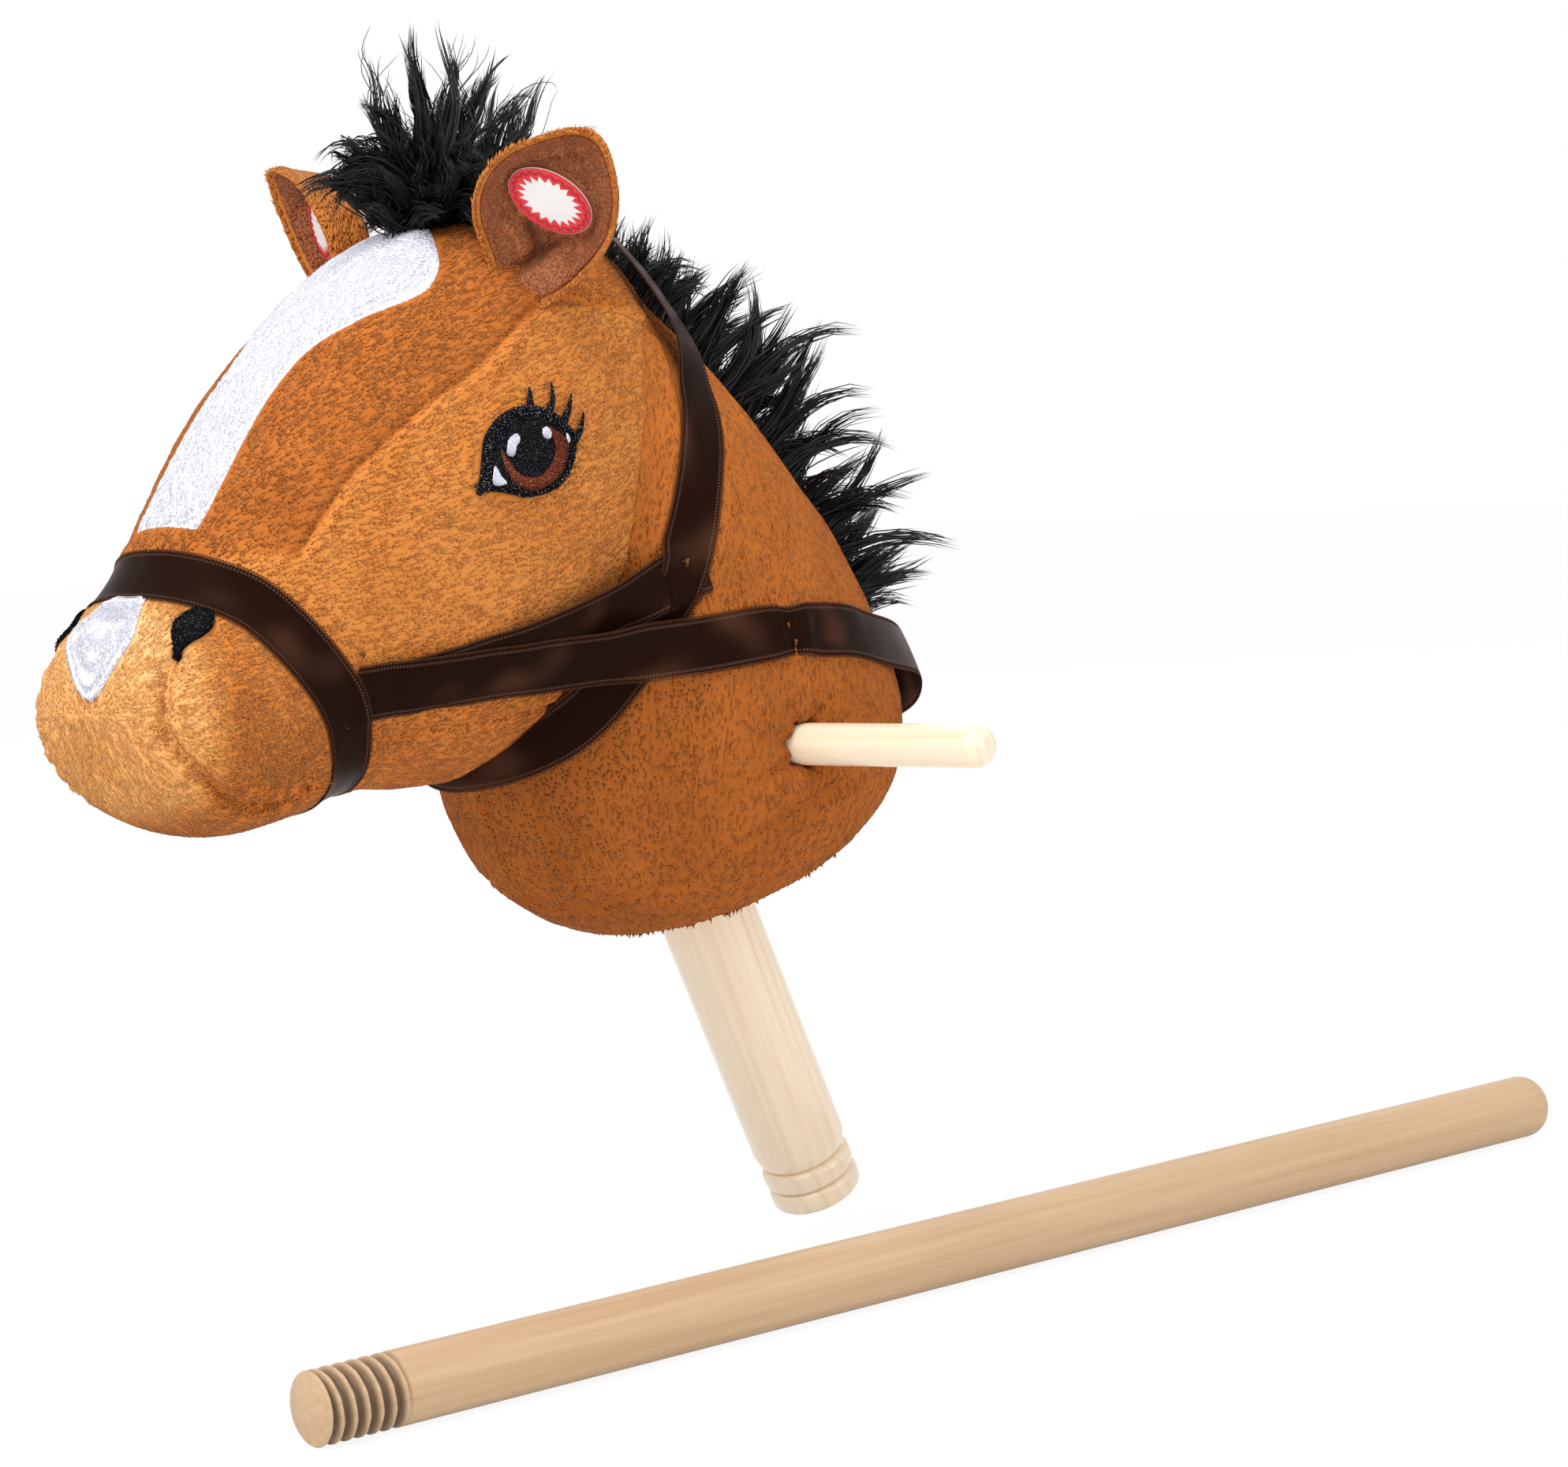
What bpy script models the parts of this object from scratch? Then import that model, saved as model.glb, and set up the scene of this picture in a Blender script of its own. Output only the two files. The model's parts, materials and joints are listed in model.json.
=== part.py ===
"""Toy hobby horse: a stuffed plush head on a two-part turned stick, as separate pieces.

The horse faces -Y, its left side is +X and +Z is up. The origin is the point where the
hand bar crosses the upper stick. Sizes are written in millimetres and scaled on creation.
The stick leans, so the pieces on it are laid out in the stick's own frame: its Y axis is
the way back across the stick and its Z axis is the way up along the stick.
The lower pole lies unscrewed on the floor beside the horse.
"""
import math

import bmesh
import bpy
from mathutils import Matrix, Vector
from mathutils.bvhtree import BVHTree

MM = 0.001
GAP = 0.3
FINE = 0.00001

# Stick
STICK_LEAN = 24.0
STICK_DIAMETER = 36.0
STICK_ABOVE_BAR = 112.0
STICK_BELOW_BAR = 200.0
STICK_SIDES = 20
BEAD_DIAMETER = 35.0
BEAD_HEIGHT = 9.0
GROOVE_DEPTH = 2.4
END_ROUNDING = 3.0

# Screwed joint between the two halves of the stick
THREAD_PITCH = 5.0
THREAD_LENGTH = 31.0
THREAD_DEPTH = 2.4
THREAD_CLEARANCE = 0.4
SOCKET_DEPTH = 36.0

# Hand bar
BAR_DIAMETER = 15.0
BAR_LENGTH = 328.0
BAR_DOME = 5.5
BAR_SIDES = 20

# Lower pole, lying on the floor with its thread towards the front
POLE_DIAMETER = 25.0
POLE_LENGTH = 597.0
POLE_YAW = 9.0
POLE_START = Vector((47.7, -221.0, -190.0))
POLE_SIDES = 16
FOOT_ROUNDING = 7.0

# Plush forms: each section is top or front point, bottom or back point, half width
HEAD_SECTIONS = (
    ((-12, 176), (-16, 78), 40),
    ((-28, 187), (-30, 46), 52),
    ((-62, 193), (-62, 16), 60),
    ((-104, 187), (-92, -1), 64),
    ((-141, 166), (-118, -3), 60),
    ((-171, 142), (-136, -1), 54),
    ((-196, 116), (-150, 1), 47),
    ((-213, 91), (-160, 0), 43),
    ((-225, 76), (-174, -5), 44),
    ((-237, 65), (-194, -9), 45),
    ((-246, 55), (-216, -8), 43),
    ((-252, 45), (-234, 1), 33),
    ((-253, 37), (-244, 13), 17),
)
HEAD_FULLNESS = 0.85
PLUSH_JOINT_GAP = 0.6
# Neck sections in the stick's frame: distance below the bar, front, back, half width
NECK_SECTIONS = (
    (58, -30, 62, 44),
    (55, -47, 79, 63),
    (42, -60, 91, 79),
    (20, -69, 98, 88),
    (-8, -71, 100, 88),
    (-42, -63, 99, 79),
    (-80, -50, 90, 68),
    (-115, -38, 78, 59),
    (-148, -24, 63, 48),
    (-172, -8, 48, 34),
)
SECTION_POINTS = 16
SUBDIVISION_SHRINK = 0.975
BASE_PANEL_DROP = 53.0
NOSE_CUT_TOP = Vector((0.0, -219.0, 79.0))
NOSE_CUT_LOW = Vector((0.0, -158.0, -6.0))
NOSE_HALF_WIDTH = 46.0

# Ribbons
RIBBON_WIDTH = 18.0
NARROW_RIBBON_WIDTH = 16.0
RIBBON_THICKNESS = 0.5
RIBBON_LIFT = 0.6
RIBBON_LAYER = 1.3
RIBBON_STEP = 10.0

# Bridle guides on the left side: x, y, z near the skin, and how far the ribbon stands off there
CROWN_PATH = (
    (0, -20, 192, 0), (26, -26, 184, 0), (46, -32, 166, 0), (57, -28, 146, 0), (64, -23, 122, 0),
    (66, -24, 100, 0), (66, -32, 76, 0), (62, -46, 48, 0), (52, -66, 24, 0), (34, -84, 2, 0), (0, -96, -8, 0),
)
CHEEK_PATH = ((48, -166, 36, 0), (57, -146, 36, 0), (64, -104, 42, 0), (67, -74, 51, 0), (67, -50, 60, 0))
REIN_PATH = (
    (46, -166, 31, 0), (59, -140, 31, 0), (66, -107, 33, 0), (74, -70, 36, 0), (82, -40, 38, 0),
    (86, 6, 40, 0), (76, 46, 36, 1), (54, 88, 26, 5), (28, 118, 12, 8), (0, 132, 4, 9),
)
NOSEBAND_POINTS = 20
NOSEBAND_SLACK = 1.06

# Stitches that hold the ribbons to each other, on the left side
TACK_RADIUS = 2.2
TACK_HEIGHT = 1.2
TACK_SPOTS = (("crown_tack", (66, -28, 70)), ("rein_tack", (85, 6, 40)), ("noseband_tack", (47, -170, 46)))

# White stripe down the face: x, y, z of its middle, and its half width there
BLAZE_PATH = (
    (0, -99, 192, 10), (0, -106, 188, 17), (0, -117, 182, 27), (0, -132, 172, 33), (0, -147, 160, 24),
    (0, -160, 148, 15), (0, -176, 132, 12.5), (0, -192, 112, 12), (0, -207, 92, 11.5),
)
BLAZE_THICKNESS = 2.0
PATCH_LIFT = 0.55
BLAZE_SHARES = (-1.0, -0.67, -0.33, 0.0, 0.33, 0.67, 1.0)
MUZZLE_PATCH = ((-11, 15), (0, 16), (11, 15), (14, 4), (10, -8), (0, -16), (-10, -8), (-14, 4))
EYE_RADII = (19.0, 16.0)
NOSTRIL_RADII = (6.5, 5.0)

# Long pile: forelock rings by height, and the mane's root and tip line in the symmetry plane
FORELOCK_RINGS = (
    (176, -64, 20, 20), (196, -66, 27, 28), (215, -70, 32, 36), (232, -70, 29, 32), (245, -68, 14, 17),
)
MANE_ROOT = (
    (-4, 176, 7), (14, 168, 13), (34, 150, 16), (53, 129, 17),
    (71, 104, 17), (87, 76, 17), (101, 50, 15), (112, 28, 9),
)
MANE_TIP = ((5, 188), (32, 184), (58, 171), (82, 154), (104, 132), (126, 101), (144, 71), (138, 44))
PILE_POINTS = 10

# Ears
EAR_BASE = Vector((50.0, -83.0, 161.0))
EAR_UP = Vector((0.485, -0.065, 0.872))
EAR_TURN = 35.0
EAR_DEPTH = 9.0
EAR_THICKNESS = 9.5
EAR_RIM = 3.0
EAR_STEP = 11.0
EAR_FLAT_SHARE = 0.7
LINING_THICKNESS = 1.6
EAR_OUTLINE = (
    (-13, -7), (-21, 5), (-29.5, 18), (-31, 30), (-26.5, 42), (-16, 52),
    (-5, 59), (4, 60), (11, 53), (16.5, 41), (18, 28), (15, 17), (8, 4), (-2, -7),
)
EAR_MIDDLE = (-6.0, 29.0)
LABEL_CENTRE = (-6.5, 31.0)
LABEL_LENGTH = 31.0
LABEL_WIDTH = 19.5
LABEL_TURN = -12.0
LABEL_THICKNESS = 1.0
PRESS_TRAVEL = 1.2
EAR_RINGS = (0.35, EAR_FLAT_SHARE, 0.83, 0.94)

# Press switch in an ear, measured along the way it is pressed
SWITCH_RADIUS = 7.2
SWITCH_WALL = 1.4
SWITCH_HEIGHT = 6.0
SWITCH_FLOOR = 1.0
STEM_RADIUS = 3.1
FLANGE_RADIUS = 5.3
FLANGE_THICKNESS = 1.2
SPRING_RADIUS = 3.6
SPRING_WIRE = 0.3
SPRING_TURNS = 3

# Plastic tie that closes the plush round the stick
TIE_TOP = -46.2
TIE_HEIGHT = 3.2
TIE_INNER = 18.4
TIE_OUTER = 20.6

# Sound unit
BOX_WIDTH = 50.0
BOX_HEIGHT = 58.0
BOX_DEPTH = 22.0
BOX_WALL = 1.6
BOX_FRONT = 19.5
BOX_BOTTOM = 20.0
LEAD_DIAMETER = 2.0
CELL_RADIUS = 5.7
CELL_THICKNESS = 5.4
COVER_THICKNESS = 2.6
POST_RADIUS = 3.4
SCREW_RADIUS = 0.95
SCREW_HEAD_RADIUS = 1.9
SCREW_LENGTH = 9.4
SCREW_INSET = 4.4
PILOT_RADIUS = 1.3
SUNK_RADIUS = 2.3
SUNK_DEPTH = 1.3
SPEAKER_RADIUS = 13.5
GRILLE_HOLE = 1.8
GRILLE_REACH = 7.5


# Scene helpers
def clear_scene():
    for obj in list(bpy.data.objects):
        bpy.data.objects.remove(obj, do_unlink=True)


def new_collection(name):
    made = bpy.data.collections.new(name)
    bpy.context.scene.collection.children.link(made)
    return made


def new_material(name, colour, roughness, metallic=0.0):
    made = bpy.data.materials.new(name)
    made.use_nodes = True
    made.diffuse_color = (*colour, 1.0)
    shader = made.node_tree.nodes["Principled BSDF"]
    shader.inputs["Base Color"].default_value = (*colour, 1.0)
    shader.inputs["Roughness"].default_value = roughness
    shader.inputs["Metallic"].default_value = metallic
    return made


clear_scene()
PARTS = new_collection("hobby_horse")
CUTTERS = new_collection("hobby_horse_cutters")

WOOD = new_material("lacquered_wood", (0.83, 0.67, 0.46), 0.35)
POLE_WOOD = new_material("sanded_wood", (0.66, 0.46, 0.27), 0.55)
TAN = new_material("tan_plush", (0.45, 0.19, 0.05), 0.95)
BROWN = new_material("brown_plush", (0.19, 0.07, 0.035), 0.95)
WHITE = new_material("white_plush", (0.85, 0.86, 0.92), 0.95)
BLACK = new_material("black_pile", (0.012, 0.012, 0.013), 0.85)
THREAD = new_material("black_embroidery", (0.015, 0.013, 0.012), 0.6)
SATIN = new_material("brown_satin", (0.045, 0.02, 0.014), 0.32)
LABEL_RED = new_material("red_vinyl", (0.75, 0.03, 0.05), 0.4)
SEWING = new_material("tan_sewing_thread", (0.2, 0.09, 0.05), 0.7)
PLASTIC = new_material("white_plastic", (0.75, 0.75, 0.73), 0.45)
STEEL = new_material("spring_steel", (0.6, 0.6, 0.6), 0.3, 1.0)
BOARD_GREEN = new_material("circuit_green", (0.03, 0.2, 0.07), 0.5)
CONE_BLACK = new_material("speaker_black", (0.02, 0.02, 0.02), 0.6)
LEAD_RED = new_material("red_lead", (0.55, 0.03, 0.03), 0.5)


def stick_frame_empty():
    empty = bpy.data.objects.new("stick_frame", None)
    empty.rotation_euler = (math.radians(STICK_LEAN), 0.0, 0.0)
    PARTS.objects.link(empty)
    return empty


STICK_FRAME = stick_frame_empty()
STICK_MATRIX = Matrix.Rotation(math.radians(STICK_LEAN), 4, "X")


def in_stick_frame(x, back, up):
    """World point in millimetres of a point given in the stick's frame"""
    return STICK_MATRIX @ Vector((x, back, up))


def new_object(name, mesh, material, cutter=False):
    obj = bpy.data.objects.new(name, mesh)
    if cutter:
        CUTTERS.objects.link(obj)
        obj.hide_render = True
        obj.display_type = "WIRE"
        return obj
    PARTS.objects.link(obj)
    mesh.materials.append(material)
    return obj


def mesh_from(bm, name, smooth=True):
    bmesh.ops.scale(bm, vec=(MM, MM, MM), verts=bm.verts)
    mesh = bpy.data.meshes.new(name)
    bm.to_mesh(mesh)
    bm.free()
    if smooth:
        mesh.shade_smooth()
        mesh.set_sharp_from_angle(angle=math.radians(35))
    return mesh


def bake_modifiers(obj):
    """The object keeps its evaluated mesh and loses its modifiers"""
    depsgraph = bpy.context.evaluated_depsgraph_get()
    mesh = bpy.data.meshes.new_from_object(obj.evaluated_get(depsgraph))
    obj.modifiers.clear()
    obj.data = mesh


def cut(obj, cutter, operation="DIFFERENCE"):
    modifier = obj.modifiers.new(cutter.name, "BOOLEAN")
    modifier.operation = operation
    modifier.object = cutter
    modifier.solver = "EXACT"


def join(obj, other):
    """Boolean union, after which the other object is only a tool"""
    cut(obj, other, "UNION")
    bake_modifiers(obj)
    bpy.data.objects.remove(other, do_unlink=True)


def turned(name, profile, material, sides=STICK_SIDES, matrix=None, cutter=False):
    """Solid of revolution from (radius, height) points that run from the top down"""
    mesh = bpy.data.meshes.new(name)
    points = [(radius * MM, 0.0, height * MM) for radius, height in profile]
    edges = [(k, k + 1) for k in range(len(points) - 1)]
    mesh.from_pydata(points, edges, [])
    obj = new_object(name, mesh, material, cutter)
    screw = obj.modifiers.new("turning", "SCREW")
    screw.axis = "Z"
    screw.angle = math.tau
    screw.steps = sides
    screw.render_steps = sides
    screw.use_merge_vertices = True
    screw.merge_threshold = FINE
    screw.use_smooth_shade = True
    bake_modifiers(obj)
    obj.data.set_sharp_from_angle(angle=math.radians(35))
    if matrix is not None:
        obj.matrix_world = matrix
    return obj


def placed(origin, axis, turn=None):
    """Matrix that puts local +Z along an axis at a point in millimetres"""
    along = Vector(axis).normalized()
    side = Vector(turn) if turn is not None else Vector((1.0, 0.0, 0.0))
    side = (side - along * side.dot(along)).normalized()
    matrix = Matrix((side, along.cross(side), along)).transposed().to_4x4()
    matrix.translation = Vector(origin) * MM
    return matrix


BAR_PLACE = placed((0, 0, 0), (1, 0, 0), (0, 1, 0))


def rod_cutter(name, radius, top, low, sides=STICK_SIDES, matrix=None):
    """Plain round cutter between two heights on its axis"""
    profile = [(0.0, top), (radius, top), (radius, low), (0.0, low)]
    return turned(name, profile, None, sides, matrix, cutter=True)


def stick_placed(x, back, up, axis=(0.0, 0.0, 1.0), turn=(1.0, 0.0, 0.0)):
    return STICK_MATRIX @ placed((x, back, up), axis, turn)


def box(name, low, high, material=None, cutter=False, in_stick=True):
    """Box between two corners, in the stick's frame or the world's"""
    low, high = Vector(low), Vector(high)
    bm = bmesh.new()
    size = Matrix.Diagonal((*(high - low), 1.0))
    bmesh.ops.create_cube(bm, size=1.0, matrix=Matrix.Translation((low + high) / 2) @ size)
    obj = new_object(name, mesh_from(bm, name, False), material, cutter)
    if in_stick:
        obj.parent = STICK_FRAME
    return obj


def tube(name, points, radius, material=None, cutter=False, sides=1):
    """Closed tube along a polyline, welded at its caps, points in world millimetres"""
    curve = bpy.data.curves.new(name, "CURVE")
    curve.dimensions = "3D"
    curve.bevel_depth = radius * MM
    curve.bevel_resolution = sides
    curve.use_fill_caps = True
    spline = curve.splines.new("POLY")
    spline.points.add(len(points) - 1)
    for slot, point in zip(spline.points, points):
        slot.co = (*(Vector(point) * MM), 1.0)
    guide = bpy.data.objects.new(name + "_guide", curve)
    CUTTERS.objects.link(guide)
    depsgraph = bpy.context.evaluated_depsgraph_get()
    mesh = bpy.data.meshes.new_from_object(guide.evaluated_get(depsgraph))
    bpy.data.objects.remove(guide, do_unlink=True)
    bm = bmesh.new()
    bm.from_mesh(mesh)
    bmesh.ops.remove_doubles(bm, verts=bm.verts, dist=FINE)
    bmesh.ops.recalc_face_normals(bm, faces=bm.faces)
    bm.to_mesh(mesh)
    bm.free()
    mesh.materials.clear()
    return new_object(name, mesh, material, cutter)


def smooth_path(points, step, closed=False):
    """Catmull-Rom curve through the points, cut into even steps; values past x, y, z ride along"""
    count = len(points)
    rows = [list(p) for p in points]
    dense = []
    spans = count if closed else count - 1
    for k in range(spans):
        if closed:
            a, b, c, d = (rows[(k + n) % count] for n in (-1, 0, 1, 2))
        else:
            a, b, c, d = (rows[min(max(k + n, 0), count - 1)] for n in (-1, 0, 1, 2))
        for m in range(12):
            t = m / 12
            dense.append([
                0.5 * (2 * q + (r - p) * t + (2 * p - 5 * q + 4 * r - s) * t * t
                       + (3 * q - p - 3 * r + s) * t ** 3)
                for p, q, r, s in zip(a, b, c, d)
            ])
    dense.append(rows[0] if closed else rows[-1])
    lengths = [0.0]
    for p, q in zip(dense, dense[1:]):
        lengths.append(lengths[-1] + (Vector(q[:3]) - Vector(p[:3])).length)
    pieces = max(2, round(lengths[-1] / step))
    path = []
    k = 0
    for n in range(pieces if closed else pieces + 1):
        want = lengths[-1] * n / pieces
        while k < len(lengths) - 2 and lengths[k + 1] < want:
            k += 1
        t = (want - lengths[k]) / max(lengths[k + 1] - lengths[k], 1e-9)
        path.append([p + (q - p) * t for p, q in zip(dense[k], dense[k + 1])])
    return path


# Turned stick
def thread_wave(turns):
    """Share of the thread's depth, from 0 at the crest to 1 at the root"""
    phase = turns % 1.0
    return min(1.0, max(0.0, 2.0 - 5.0 * abs(phase - 0.5)))


def cut_thread(obj, length, depth, radius, hand_start):
    """Move the rows of a turned solid in along a helix, from its end face at z = 0"""
    for vertex in obj.data.vertices:
        x, y, z = vertex.co / MM
        if not (THREAD_PITCH * 0.3 < z < length) or math.hypot(x, y) < radius - depth - 0.5:
            continue
        turns = z / THREAD_PITCH + hand_start * math.atan2(y, x) / math.tau
        shrink = 1.0 - depth * thread_wave(turns) / radius
        vertex.co.x *= shrink
        vertex.co.y *= shrink


def thread_rows(length, radius):
    rows = []
    step = THREAD_PITCH / 4
    z = length
    while z > step:
        rows.append((radius, z))
        z -= step
    return rows


def build_upper_stick():
    radius = STICK_DIAMETER / 2
    bead = BEAD_DIAMETER / 2
    low = -STICK_BELOW_BAR
    neck_down = low + 2 * BEAD_HEIGHT
    profile = [(0.0, STICK_ABOVE_BAR), (radius - 2.0, STICK_ABOVE_BAR), (radius, STICK_ABOVE_BAR - 2.0)]
    profile += [(radius, neck_down + 7.0), (radius - 0.6, neck_down + 3.2)]
    profile += [(radius - GROOVE_DEPTH - 0.6, neck_down)]
    for upper in (neck_down, neck_down - BEAD_HEIGHT):
        lower = upper - BEAD_HEIGHT
        profile.append((bead - 1.0, upper - 1.6))
        profile.append((bead, upper - 3.4))
        profile.append((bead, lower + 3.4))
        profile.append((bead - 0.9, lower + 1.5))
        profile.append((bead - END_ROUNDING + 0.6, lower))
    profile.append((0.0, low))
    stick = turned("upper_stick", profile, WOOD)
    stick.parent = STICK_FRAME
    bore = POLE_DIAMETER / 2 + THREAD_CLEARANCE
    socket_profile = [(0.0, SOCKET_DEPTH), (bore - THREAD_DEPTH, SOCKET_DEPTH)]
    socket_profile += [(bore, z) for _, z in thread_rows(SOCKET_DEPTH - 4.0, bore)]
    socket_profile += [(bore, THREAD_PITCH / 4), (bore, -1.0), (0.0, -1.0)]
    socket = turned("socket_cutter", socket_profile, None, POLE_SIDES, cutter=True)
    cut_thread(socket, SOCKET_DEPTH - 3.0, THREAD_DEPTH, bore, -1.0)
    socket.parent = STICK_FRAME
    socket.location = (0.0, 0.0, low * MM)
    cut(stick, socket)
    cut(stick, rod_cutter("bar_bore_cutter", BAR_DIAMETER / 2 + GAP, 30.0, -30.0, BAR_SIDES, BAR_PLACE))
    return stick


def build_handle_bar():
    radius = BAR_DIAMETER / 2
    half = BAR_LENGTH / 2
    dome = [(radius - BAR_DOME * (1 - math.sin(a)), half - BAR_DOME * (1 - math.cos(a)))
            for a in (0.0, 0.45, 0.9, 1.25, math.pi / 2)]
    profile = [(0.0, half)] + dome + [(r, -z) for r, z in reversed(dome)] + [(0.0, -half)]
    return turned("handle_bar", profile, WOOD, BAR_SIDES, BAR_PLACE)


def pole_direction():
    yaw = math.radians(POLE_YAW)
    return Vector((math.sin(yaw), math.cos(yaw), 0.0))


def build_lower_pole():
    radius = POLE_DIAMETER / 2
    foot = [(radius - FOOT_ROUNDING * (1 - math.sin(a)), POLE_LENGTH - FOOT_ROUNDING * (1 - math.cos(a)))
            for a in (0.0, 0.4, 0.8, 1.2, math.pi / 2)]
    profile = [(0.0, POLE_LENGTH)] + foot
    profile += [(radius, THREAD_LENGTH + 2.0)] + thread_rows(THREAD_LENGTH, radius)
    profile += [(radius - 0.2, 1.2), (radius - 1.4, 0.0), (0.0, 0.0)]
    pole = turned("lower_pole", profile, POLE_WOOD, POLE_SIDES)
    cut_thread(pole, THREAD_LENGTH + 0.5, THREAD_DEPTH, radius, -1.0)
    pole.matrix_world = placed(POLE_START, pole_direction())
    return pole


# Plush forms
def section_ring(top, low, half_width, grow=0.0, fullness=1.0):
    """Ellipse across the symmetry plane through a top and a low point"""
    middle = (top + low) / 2
    rise = (top - low) / 2
    rise = rise * ((rise.length + grow) / rise.length / SUBDIVISION_SHRINK)
    across = Vector(((half_width + grow) / SUBDIVISION_SHRINK, 0.0, 0.0))
    ring = []
    for k in range(SECTION_POINTS):
        angle = math.tau * k / SECTION_POINTS
        swing = math.copysign(abs(math.cos(angle)) ** fullness, math.cos(angle))
        ring.append(middle + across * swing + rise * math.sin(angle))
    return ring


def loft(name, rings, material, cutter=False):
    """Closed form through rings of points, smoothed once"""
    bm = bmesh.new()
    loops = [[bm.verts.new(p) for p in ring] for ring in rings]
    for first, second in zip(loops, loops[1:]):
        for i in range(len(first)):
            j = (i + 1) % len(first)
            bm.faces.new((first[i], first[j], second[j], second[i]))
    bm.faces.new(list(reversed(loops[0])))
    bm.faces.new(loops[-1])
    bmesh.ops.recalc_face_normals(bm, faces=bm.faces)
    obj = new_object(name, mesh_from(bm, name), material, cutter)
    smooth = obj.modifiers.new("stuffing", "SUBSURF")
    smooth.levels = 1
    smooth.render_levels = 1
    return obj


def head_rings(grow=0.0):
    return [section_ring(Vector((0, *top)), Vector((0, *low)), half, grow, HEAD_FULLNESS)
            for top, low, half in HEAD_SECTIONS]


def neck_rings(grow=0.0):
    rings = []
    last = len(NECK_SECTIONS) - 1
    for number, (below, front, back, half) in enumerate(NECK_SECTIONS):
        up = -below + grow * (number == last) - grow * (number == 0)
        rings.append(section_ring(Vector((0, back, up)), Vector((0, front, up)), half, grow))
    return rings


def half_space(name, point, normal, size=500.0):
    """Large box on the side of a plane that its normal points to"""
    bm = bmesh.new()
    bmesh.ops.create_cube(bm, size=size, matrix=Matrix.Translation((0, 0, size / 2)))
    obj = new_object(name, mesh_from(bm, name, False), None, cutter=True)
    obj.matrix_world = placed(point, normal)
    return obj


def nose_normal():
    """Way forward and down, square to the plane between head and muzzle"""
    along = (NOSE_CUT_LOW - NOSE_CUT_TOP).normalized()
    return Vector((0.0, along.z, -along.y))


def ear_axes(side):
    """Right, up and outward directions of an ear's face; side is 1 for the left ear"""
    turn = math.radians(EAR_TURN)
    up = EAR_UP.normalized()
    facing = Vector((math.sin(turn), -math.cos(turn), 0.0))
    out = (facing - up * facing.dot(up)).normalized()
    right = up.cross(out)
    flip = Vector((side, 1.0, 1.0))
    return right * flip, up * flip, out * flip


def ear_point(side, across, up, out):
    right, above, outward = ear_axes(side)
    base = Vector((EAR_BASE.x * side, EAR_BASE.y, EAR_BASE.z))
    return base + right * across + above * up + outward * out


def lead_route(side):
    """Route of a switch lead from the sound box to the side of the ear switch"""
    return [
        in_stick_frame(12 * side, 30, BOX_BOTTOM + BOX_HEIGHT - 5),
        in_stick_frame(12 * side, 30, BOX_BOTTOM + BOX_HEIGHT + 6),
        Vector((20 * side, -22, 105)),
        Vector((28 * side, -42, 125)),
        Vector((38 * side, -62, 142)),
        ear_point(side, 1, -12, -12),
        ear_point(side, 0, 6, -14),
        ear_point(side, LABEL_CENTRE[0] - 2, LABEL_CENTRE[1] - 8.0, -13.5),
    ]


def build_plush():
    head_plush = loft("head_body", head_rings(), TAN)
    muzzle_plush = loft("muzzle_body", head_rings(), TAN)
    neck_plush = loft("neck_body", neck_rings(), TAN)
    base_panel = loft("neck_base_panel", neck_rings(), TAN)
    neck_grown = loft("neck_cutter", neck_rings(PLUSH_JOINT_GAP), None, cutter=True)
    for obj in (neck_plush, base_panel, neck_grown):
        obj.parent = STICK_FRAME
    stick_bore = rod_cutter("stick_bore_cutter", STICK_DIAMETER / 2 + GAP, STICK_ABOVE_BAR + GAP, -90.0)
    stick_bore.parent = STICK_FRAME
    bar_bore = rod_cutter("neck_bar_bore_cutter", BAR_DIAMETER / 2 + GAP, 120.0, -120.0, BAR_SIDES, BAR_PLACE)
    forward = nose_normal()
    middle = (NOSE_CUT_TOP + NOSE_CUT_LOW) / 2
    in_front = half_space("in_front_of_noseband", middle - forward * GAP / 2, forward)
    behind = half_space("behind_noseband", middle + forward * GAP / 2, -forward)
    cut(head_plush, neck_grown)
    cut(head_plush, stick_bore)
    cut(head_plush, in_front)
    cut(muzzle_plush, behind)
    down = in_stick_frame(0, 0, -1)
    below = half_space("below_panel_seam", in_stick_frame(0, 0, -BASE_PANEL_DROP + GAP), down)
    above = half_space("above_panel_seam", in_stick_frame(0, 0, -BASE_PANEL_DROP), -down)
    tie_room = rod_cutter("tie_room_cutter", TIE_OUTER + 2 * GAP, TIE_TOP + 2 * GAP, -BASE_PANEL_DROP - 5.0)
    tie_room.parent = STICK_FRAME
    pocket_low = (-BOX_WIDTH / 2 - GAP, STICK_DIAMETER / 2 - 1.0, BOX_BOTTOM - GAP)
    pocket_high = (BOX_WIDTH / 2 + GAP, BOX_FRONT + BOX_DEPTH + GAP, BOX_BOTTOM + BOX_HEIGHT + GAP)
    pocket = box("sound_pocket_cutter", pocket_low, pocket_high, cutter=True)
    cut(neck_plush, below)
    cut(neck_plush, stick_bore)
    cut(neck_plush, bar_bore)
    cut(neck_plush, tie_room)
    cut(neck_plush, pocket)
    cut(base_panel, above)
    cut(base_panel, stick_bore)
    for side in (1, -1):
        route = lead_route(side)
        route[-1] = route[-1] + (route[-1] - route[-2]).normalized() * 2.0
        channel = tube("lead_channel_%s" % side_name(side), route, LEAD_DIAMETER / 2 + 0.5, cutter=True)
        cut(neck_plush, channel)
        cut(head_plush, channel)
    for obj in (head_plush, muzzle_plush, neck_plush, base_panel):
        bake_modifiers(obj)


def side_name(side):
    return "left" if side > 0 else "right"


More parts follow.
